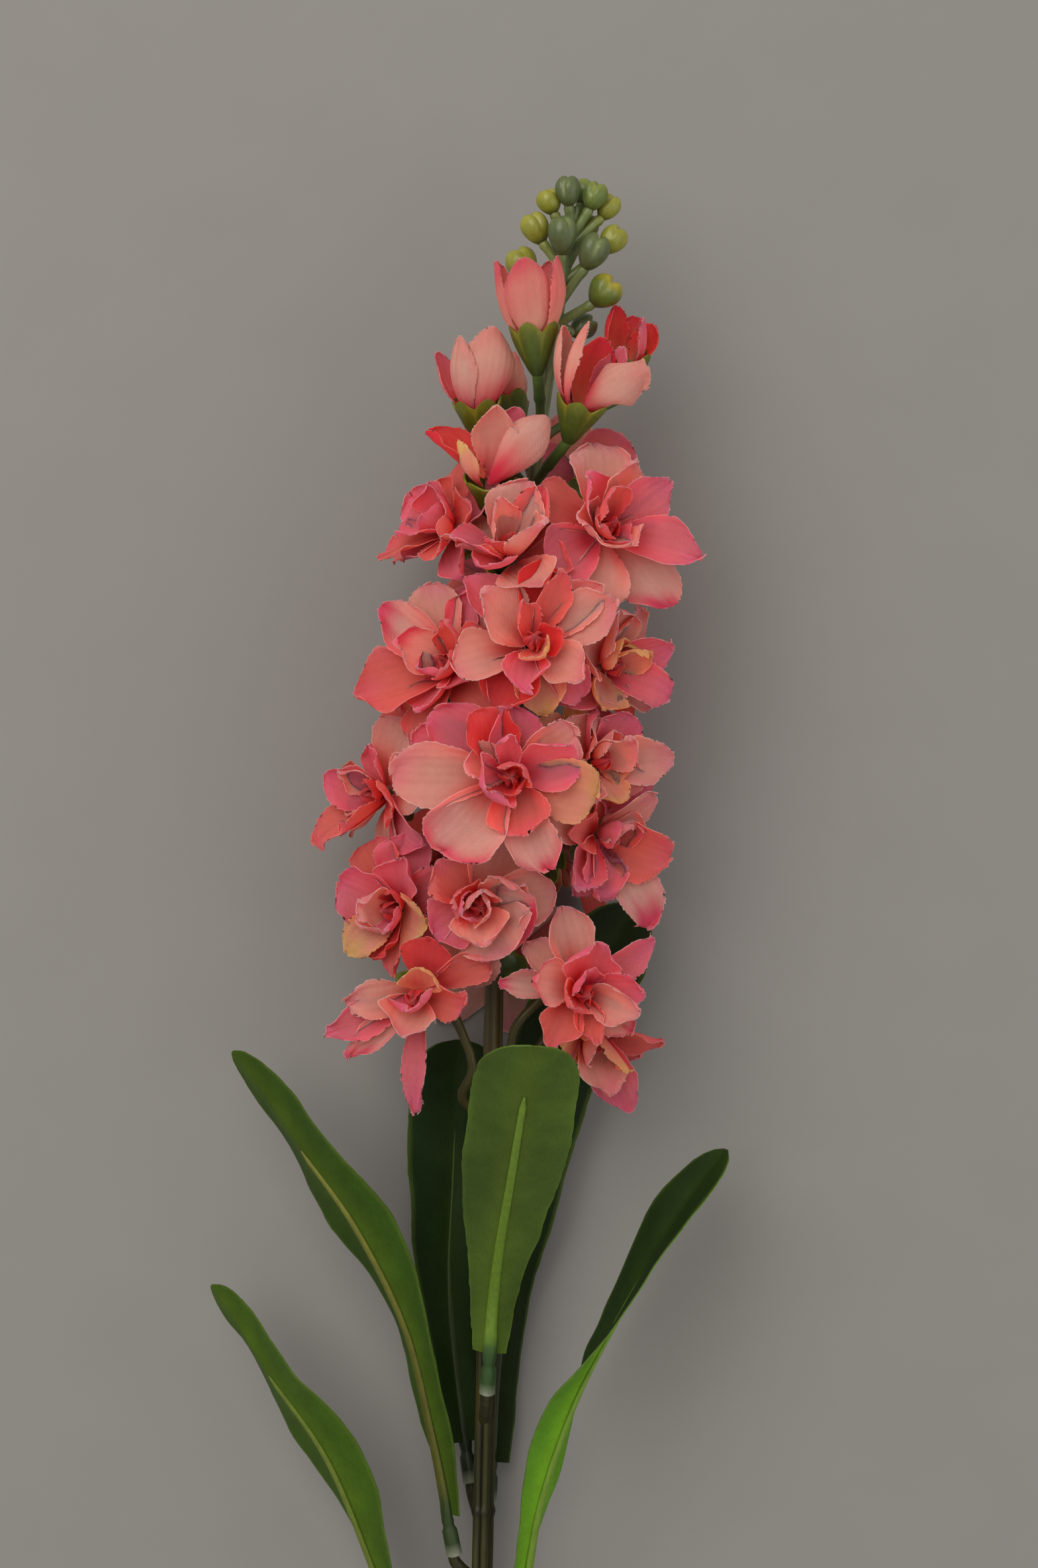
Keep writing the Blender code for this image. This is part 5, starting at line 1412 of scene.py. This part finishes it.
spike_heights = np.linspace(STEM_END + PIECE_GAP, RACEME_END, 80)
spike_share = (spike_heights - spike_heights[0]) / (spike_heights[-1] - spike_heights[0])
spike_radii = STEM_TOP_RADIUS + (SPIKE_TOP_RADIUS - STEM_TOP_RADIUS) * spike_share
spike, at_height, ridge, _ = strand_rod("spike_axis", spike_heights, spike_radii, (), around=50)
shade = mixed(SPIKE_DYES[0], SPIKE_DYES[1], rise(at_height, 300.0, 440.0))
shade = mixed(shade, SPIKE_DYES[2], rise(at_height, 430.0, 478.0))
# Painted shade: the spike is darker deep in the grooves between its strands.
paint(spike.data, shade * (0.55 + 0.45 * ridge)[:, None])
smoothed(spike, PLASTIC_ANGLE)
finished(spike, "calyx", ["raceme"], CALYX_PLASTIC)
print("axis of the spike:", len(spike.data.polygons), "faces")

# %% Stalks of the blooms
STALK_RADIUS = 1.3
STALK_RISE = 20.0
TIP_STALK_RISE = 24.0
TIP_STALKS_FROM = 470.0
LOWEST_STALK = 12.0
STALK_DEPTH = 8.5
STALK_ROOT = 6.0
STALK_STRAIGHT = 4.0
STALK_UP = 0.55
STALK_OUT = 0.12
STALK_PATHS = {   # bowed stalks: their places between the axis and the calyx
    "bloom_13": ((-5.0, 280.0, 1.0), (-9.0, 286.0, 7.0), (-6.0, 297.0, 13.0)),
    "bloom_14": ((3.0, 286.0, 2.0), (5.0, 300.0, 6.0), (8.0, 308.0, 9.0)),
    "bloom_15": ((3.5, 279.0, 0.0), (8.0, 292.0, -3.0), (16.0, 303.0, -5.0)),
}
STALK_RINGS = 22
STALK_DYES = (linear((72, 62, 24)), linear((52, 76, 28)), linear((78, 106, 44)))
LOW_STALK_DYES = (linear((60, 52, 12)), linear((58, 54, 12)), linear((28, 42, 12)))
COLLAR_AT = 0.72
COLLAR_HALF = 0.03
COLLAR_SWELL = 0.25
SOCKET_SWELL = 0.22
LOW_STALKS_UNDER = 345.0


def stalk_line(bloom):
    """The middle of a stalk, from inside the axis to the calyx."""
    socket = bloom.heart - bloom.facing * STALK_DEPTH
    straight = socket - bloom.facing * STALK_STRAIGHT
    if bloom.name in STALK_PATHS:
        path = STALK_PATHS[bloom.name]
        return curve_through([axis_at(path[0][1] - STALK_ROOT), *path, straight, socket], STALK_RINGS)
    gain = TIP_STALK_RISE if bloom.heart[1] > TIP_STALKS_FROM else STALK_RISE
    start = axis_at(max(STEM_END + LOWEST_STALK, socket[1] - gain))
    near = axis_at(socket[1] - STALK_STRAIGHT)
    bend = start + (near - start) * STALK_UP
    return curve_through([start, bend + (socket - bend) * STALK_OUT, socket], STALK_RINGS)


def stalk_of(blank, bloom):
    """A stalk with a collar, thicker beyond it."""
    stalk = copy_of(blank, f"{bloom.name}_stalk")
    line = stalk_line(bloom)
    share = np.linspace(0.0, 1.0, STALK_RINGS)
    collar = np.exp(-((share - COLLAR_AT) / COLLAR_HALF) ** 2)
    socket = rise(share, COLLAR_AT - 0.05, COLLAR_AT + 0.05)
    radii = STALK_RADIUS * (1.0 + SOCKET_SWELL * socket + COLLAR_SWELL * collar)
    _, sides, ups = frames_along(line)
    ring = bend_rod(stalk, line, sides * radii[:, None], ups * radii[:, None])
    dyes = LOW_STALK_DYES if bloom.heart[1] < LOW_STALKS_UNDER else STALK_DYES
    shade = mixed(dyes[0], dyes[1], rise(share, 0.3, COLLAR_AT))
    shade = mixed(shade, dyes[2], rise(share, COLLAR_AT, 1.0))
    paint(stalk.data, shade[ring])
    return stalk


stalk_blank = ringed_cylinder("stalk_blank", 18, STALK_RINGS - 1)
all_stalks = joined("flower_stalks", [stalk_of(stalk_blank, bloom) for bloom in blooms])
bpy.data.objects.remove(stalk_blank)
smoothed(all_stalks, PLASTIC_ANGLE)
finished(all_stalks, "calyx", ["raceme"], CALYX_PLASTIC)
print("flower stalks:", len(blooms), "with", len(all_stalks.data.polygons), "faces")

# %% [markdown]
# A calyx is a thin moulded cup that splits in five pointed sepals. It is an open cylinder whose
# rings are rolled out to a cup. Points between two sepals stop short, and those in the middle
# of a sepal go on to its tip.

# %% Calyxes
SEPALS = 5
NOTCH = 0.58
NOTCH_OF_BUDS = 0.75
SEPAL_THICK = 0.6
SEPALS_NARROW = 0.22
SEPALS_NARROW_OF_BUDS = 0.08
STEEPEST = 1.4
BUD_CUP = ((1.25, 2.4, 3.2, 4.3, 5.4, 6.4, 7.1, 7.4),   # radii, and heights over the heart
           (-9.2, -7.4, -5.6, -3.4, -0.8, 1.8, 3.8, 5.4))
BUD_CUP_FIXED = 3   # rows at the foot that keep their height
OPEN_CUP = ((1.25, 2.7, 4.4, 6.2, 8.0, 9.0), (-9.2, -7.4, -5.3, -4.2, -4.4, -5.2))
CALYX_ANGLE = 50.0
CALYX_AROUND = 40
CALYX_ALONG = 10
YELLOWED_MOST = 0.65
CALYX_SEED = 70
CALYX_DYES = (linear((44, 62, 10)), linear((64, 80, 14)), linear((148, 142, 36)))


def calyx_profile(slope):
    """Radii and heights over the heart, from the foot of the cup to the tips of the sepals."""
    if slope == 0.0:
        return OPEN_CUP
    radii, heights = (np.array(row) for row in BUD_CUP)
    foot = heights[BUD_CUP_FIXED]
    heights[BUD_CUP_FIXED:] = foot + (heights[BUD_CUP_FIXED:] - foot) * slope / STEEPEST
    return radii * (0.96 + 0.12 * (STEEPEST - slope)), heights


def calyx_of(blank, bloom, chance):
    """Roll an open cylinder out to a cup that splits in sepals."""
    flat = points_of(blank.data)
    radii, heights = calyx_profile(bloom.slope)
    around = np.arctan2(flat[:, 1], flat[:, 0]) + chance.uniform(0.0, 1.2)
    turn = 2 * pi / SEPALS
    off = np.abs((around + turn / 2) % turn - turn / 2) / (turn / 2)
    notch = NOTCH_OF_BUDS if bloom.slope > 0.0 else NOTCH
    place = flat[:, 2] * (notch + (1.0 - notch) * (1.0 - off ** 1.3))
    rows = np.arange(len(radii))
    radius = np.interp(place * (len(rows) - 1), rows, radii)
    height = np.interp(place * (len(rows) - 1), rows, heights)
    free = rise(place, notch * 0.7, 1.0)
    radius = radius * (1.0 + 0.05 * np.cos(off * pi) * (1.0 - free)) + 0.25 * free * np.sin(3 * around)
    narrow = 1.0 - (SEPALS_NARROW_OF_BUDS if bloom.slope > 0.0 else SEPALS_NARROW) * free * off
    centre = np.round(around / turn) * turn
    angle = centre + (around - centre) * narrow
    points = bloom.heart + bloom.side * (radius * np.cos(angle))[:, None]
    points += bloom.up * (radius * np.sin(angle))[:, None] + bloom.facing * height[:, None]
    calyx = copy_of(blank, f"{bloom.name}_calyx")
    move_points(calyx.data, laid(points))
    colour = mixed(CALYX_DYES[0], CALYX_DYES[1], rise(flat[:, 2], 0.1, 0.5))
    edge = rise(off + 0.35 * free, 0.75, 1.15) * rise(flat[:, 2], 0.35, 0.8)
    yellowed = 0.4 * edge + 0.35 * rise(place, 0.5, 1.0)
    paint(calyx.data, mixed(colour, CALYX_DYES[2], np.minimum(yellowed, YELLOWED_MOST)))
    return calyx


calyx_blank = ringed_cylinder("calyx_blank", CALYX_AROUND, CALYX_ALONG)
only(calyx_blank)
bpy.ops.object.mode_set(mode="EDIT")
bpy.ops.mesh.select_mode(type="FACE")
bpy.ops.mesh.select_all(action="DESELECT")
bpy.ops.object.mode_set(mode="OBJECT")
for face in calyx_blank.data.polygons:
    face.select = len(face.vertices) > 4
bpy.ops.object.mode_set(mode="EDIT")
bpy.ops.mesh.delete(type="ONLY_FACE")
bpy.ops.object.mode_set(mode="OBJECT")
calyxes = [calyx_of(calyx_blank, bloom, Random(CALYX_SEED + i)) for i, bloom in enumerate(blooms)]
bpy.data.objects.remove(calyx_blank)
all_calyxes = joined("calyxes", calyxes)
wall = all_calyxes.modifiers.new("wall", "SOLIDIFY")
wall.thickness = SEPAL_THICK * MM
wall.offset = 0.0
apply_modifiers(all_calyxes)
smoothed(all_calyxes, CALYX_ANGLE)
finished(all_calyxes, "calyx", ["raceme"], CALYX_PLASTIC)
print("calyxes:", len(calyxes), "with", len(all_calyxes.data.polygons), "faces")

# %% [markdown]
# ## The bud spray at the tip
#
# One glossy moulding of closed buds on short stalks. A bud is swollen towards its tip and
# cleft in two lobes, with a pale seam in the cleft, as the mould left it. Each starts as a
# sphere.

# %% Closed buds
TIP_BUDS = (   # the middle of each bud, its length and its width
    (16.2, 542.0, 2.0, 7.5, 7.0), (21.5, 544.5, 5.0, 9.0, 7.0), (26.0, 545.5, -3.0, 8.0, 6.5),
    (29.0, 543.5, 2.5, 8.5, 7.0), (33.0, 541.0, -1.5, 8.0, 6.5), (12.3, 534.5, 1.0, 9.5, 8.0),
    (19.8, 531.5, 6.5, 11.5, 8.0), (26.6, 535.5, -4.5, 8.5, 7.0), (34.2, 531.5, -1.0, 9.0, 7.5),
    (28.5, 527.0, 5.5, 11.0, 8.5), (8.5, 525.0, -4.0, 10.0, 9.0), (31.7, 516.0, 3.0, 10.0, 9.5),
    (25.7, 507.0, -5.0, 9.0, 7.0))
TIP_LOOKS = ("pale", "dark", "green", "green", "pale", "pale", "dark", "pale", "pale", "dark", "pale",
             "tipped", "dark")
TIP_DYES = {   # body, tip and seam
    "pale": ((136, 136, 46), (154, 150, 56), (176, 172, 88)),
    "dark": ((84, 96, 58), (98, 108, 64), (148, 154, 100)),
    "green": ((100, 116, 50), (126, 134, 56), (160, 164, 88)),
    "tipped": ((92, 108, 38), (168, 152, 46), (170, 162, 76)),
}
TIP_OLIVE = linear((78, 80, 34))
TIP_STEM = linear((112, 126, 74))
TIP_STALK_DROP = 6.0
TIP_LEAN = 0.75
TIP_UPWARD = 4.0
TIP_SWELL = 0.22
TIP_GIRTH = 0.82
TIP_FOOT = 0.42
TIP_CLEFT_HALF = 0.16
TIP_CLEFT_DEEP = 0.24
TIP_RIDGES = 6
TIP_RIDGE_DEEP = 0.02
TIP_SEAM_HALF = 0.09
TIP_STALK_ROWS = 9
TIP_STALK_RADII = np.linspace(1.5, 1.25, TIP_STALK_ROWS)
TIP_COLLAR = 1.0 + 0.25 * np.exp(-((np.arange(TIP_STALK_ROWS) - 7.0) / 0.8) ** 2)
TIP_ANGLE = 60.0
SPRAY_ROWS = 15


def tip_way(row):
    """Where the stalk of a bud leaves the axis, the bud's middle and the way that it points."""
    x, height, z, length, _ = row
    middle = np.array((x, height, z))
    root_height = min(height - 0.7 * length, SPRAY_END) - TIP_STALK_DROP
    root = axis_at(max(RACEME_END + 2.0, root_height))
    return root, middle, unit(TIP_LEAN * (middle - root) + (0.0, TIP_UPWARD, 0.0))


def tip_bud(index, row, look):
    """A bud of two lobes with a seam in the cleft."""
    _, middle, way = tip_way(row)
    length, width = row[3:]
    nothing_selected()
    bpy.ops.mesh.primitive_uv_sphere_add(segments=28, ring_count=16, radius=1.0)
    bud = bpy.context.object
    bud.name = f"tip_bud_{index}"
    ball = points_of(bud.data)
    turn = Random(index).uniform(-0.9, 0.9)
    off_cleft = ball[:, 0] * cos(turn) + ball[:, 1] * sin(turn)
    high = ball[:, 2]
    swell = 1.24 * (TIP_GIRTH + TIP_SWELL * high)
    cleft = np.exp(-(off_cleft / TIP_CLEFT_HALF) ** 2) * rise(high, -0.35, 0.35)
    ridges = TIP_RIDGE_DEEP * np.cos(TIP_RIDGES * np.arctan2(ball[:, 1], ball[:, 0]) + index)
    radius = swell * (1.0 - TIP_CLEFT_DEEP * cleft + ridges) * width / 2
    lift = high * (1.0 + 0.08 * rise(high, 0.4, 1.0) * (1.0 - 3.5 * cleft)) * length / 2
    side = unit(np.cross(way, (0.2, 0.1, 1.0)))
    up = np.cross(way, side)
    points = middle + way * lift[:, None]
    points += side * (ball[:, 0] * radius)[:, None] + up * (ball[:, 1] * radius)[:, None]
    move_points(bud.data, laid(points))
    body, tip, seam = (linear(rgb) for rgb in TIP_DYES[look])
    colour = mixed(TIP_OLIVE, body, rise(high, -1.0, -0.35))
    colour = mixed(colour, tip, rise(high, 0.2, 0.95))
    on_seam = np.exp(-(off_cleft / TIP_SEAM_HALF) ** 2) * rise(high, -0.4, 0.2)
    paint(bud.data, mixed(colour, seam, 0.8 * on_seam))
    return bud


def tip_stalk(index, row, look):
    """The stalk of a bud, with a collar below the bud."""
    root, middle, way = tip_way(row)
    foot = middle - way * (row[3] * TIP_FOOT)
    line = curve_through((root, root + (foot - root) * 0.5 + way * 0.6, foot), TIP_STALK_ROWS)
    stalk, ring = round_rod(f"tip_stalk_{index}", line, TIP_STALK_RADII * TIP_COLLAR, around=16)
    paint(stalk.data, mixed(TIP_STEM, linear(TIP_DYES[look][0]), 0.5 * ring / (TIP_STALK_ROWS - 1)))
    return stalk


line = axis_at(np.linspace(RACEME_END + PIECE_GAP, SPRAY_END, SPRAY_ROWS))
spray_radii = np.linspace(SPIKE_TOP_RADIUS, 0.7 * TIP_AXIS_RADIUS, SPRAY_ROWS)
axis, ring = round_rod("spray_axis", line, spray_radii, around=20)
paint(axis.data, mixed(SPIKE_DYES[2], TIP_STEM, ring / (SPRAY_ROWS - 1)))
spray_pieces = [axis]
for index, (row, look) in enumerate(zip(TIP_BUDS, TIP_LOOKS)):
    spray_pieces += [tip_bud(index, row, look), tip_stalk(index, row, look)]
spray = joined("bud_spray_moulding", spray_pieces)
smoothed(spray, TIP_ANGLE)
finished(spray, "tip", ["bud_spray"], TIP_PLASTIC)
print("bud spray:", len(TIP_BUDS), "buds with", len(spray.data.polygons), "faces")

# %% [markdown]
# ## Table, light and camera
#
# A plain pale table, a soft wide light from the upper left, a weak one from the right, and a
# camera that looks straight at the lying plant, as the photograph looks at the standing one.

# %% Table
TABLE_ALBEDO = 0.255
GRAIN = 0.015
GREEN_SHARE, BLUE_SHARE = 0.955, 0.9   # of the red, for a warm grey


def table_material():
    finish, tree, shader = new_material("pale_table")
    grain = noise(tree, own_place(tree), 30.0, 5.0)
    shade = spread(tree, grain, TABLE_ALBEDO * (1.0 - GRAIN), TABLE_ALBEDO * (1.0 + GRAIN))
    green, blue = times(tree, shade, GREEN_SHARE), times(tree, shade, BLUE_SHARE)
    warm = step(tree, "ShaderNodeCombineColor", {"Red": shade, "Green": green, "Blue": blue})
    tree.links.new(warm.outputs["Color"], shader.inputs["Base Color"])
    fixed(shader, Roughness=0.9, Specular_IOR_Level=0.2)
    return finish


nothing_selected()
bpy.ops.mesh.primitive_plane_add(size=6.0)
table = bpy.context.object
table.name = "table"
table.data.materials.append(table_material())
print("table:", [round(size, 2) for size in table.dimensions], "m")

# %% Light
CAMERA_AIM = laid(np.array((7.4, 375.0, 0.0)))
CAMERA_AWAY = 0.94

world = bpy.data.worlds.new("studio")
bpy.context.scene.world = world
world.use_nodes = True
background = world.node_tree.nodes["Background"]
background.inputs["Color"].default_value = (1.0, 0.98, 0.95, 1.0)
background.inputs["Strength"].default_value = 0.55


def soft_light(name, place, size, power, colour):
    """A square lamp that looks at the middle of the spike."""
    lamp = bpy.data.lights.new(name, "AREA")
    lamp.size = size
    lamp.energy = power
    lamp.color = colour
    thing = bpy.data.objects.new(name, lamp)
    bpy.context.scene.collection.objects.link(thing)
    away = Vector(CAMERA_AIM) - Vector(place)
    thing.matrix_world = Matrix.Translation(place) @ away.to_track_quat("-Z", "Y").to_matrix().to_4x4()


soft_light("key", (-0.45, 0.55, 1.1), 1.1, 9.8, (1.0, 0.97, 0.92))
soft_light("fill", (0.9, -0.1, 0.8), 0.9, 2.0, (0.96, 0.98, 1.0))
bpy.context.scene.view_settings.view_transform = "Standard"
print("lamps:", [lamp.name for lamp in bpy.data.lights])

# %% Camera
eye = bpy.data.cameras.new("camera")
eye.lens = 50.0
eye.sensor_fit = "VERTICAL"
eye.sensor_height = 24.0
eye.clip_start = 0.02
camera = bpy.data.objects.new("camera", eye)
bpy.context.scene.collection.objects.link(camera)
tilt = Matrix.Rotation(LIE_ANGLE, 4, "X")
backwards = Matrix.Translation((0.0, 0.0, CAMERA_AWAY))
camera.matrix_world = Matrix.Translation(Vector(CAMERA_AIM)) @ tilt @ backwards
bpy.context.scene.camera = camera
print("camera", CAMERA_AWAY, "m from the middle of the spike")
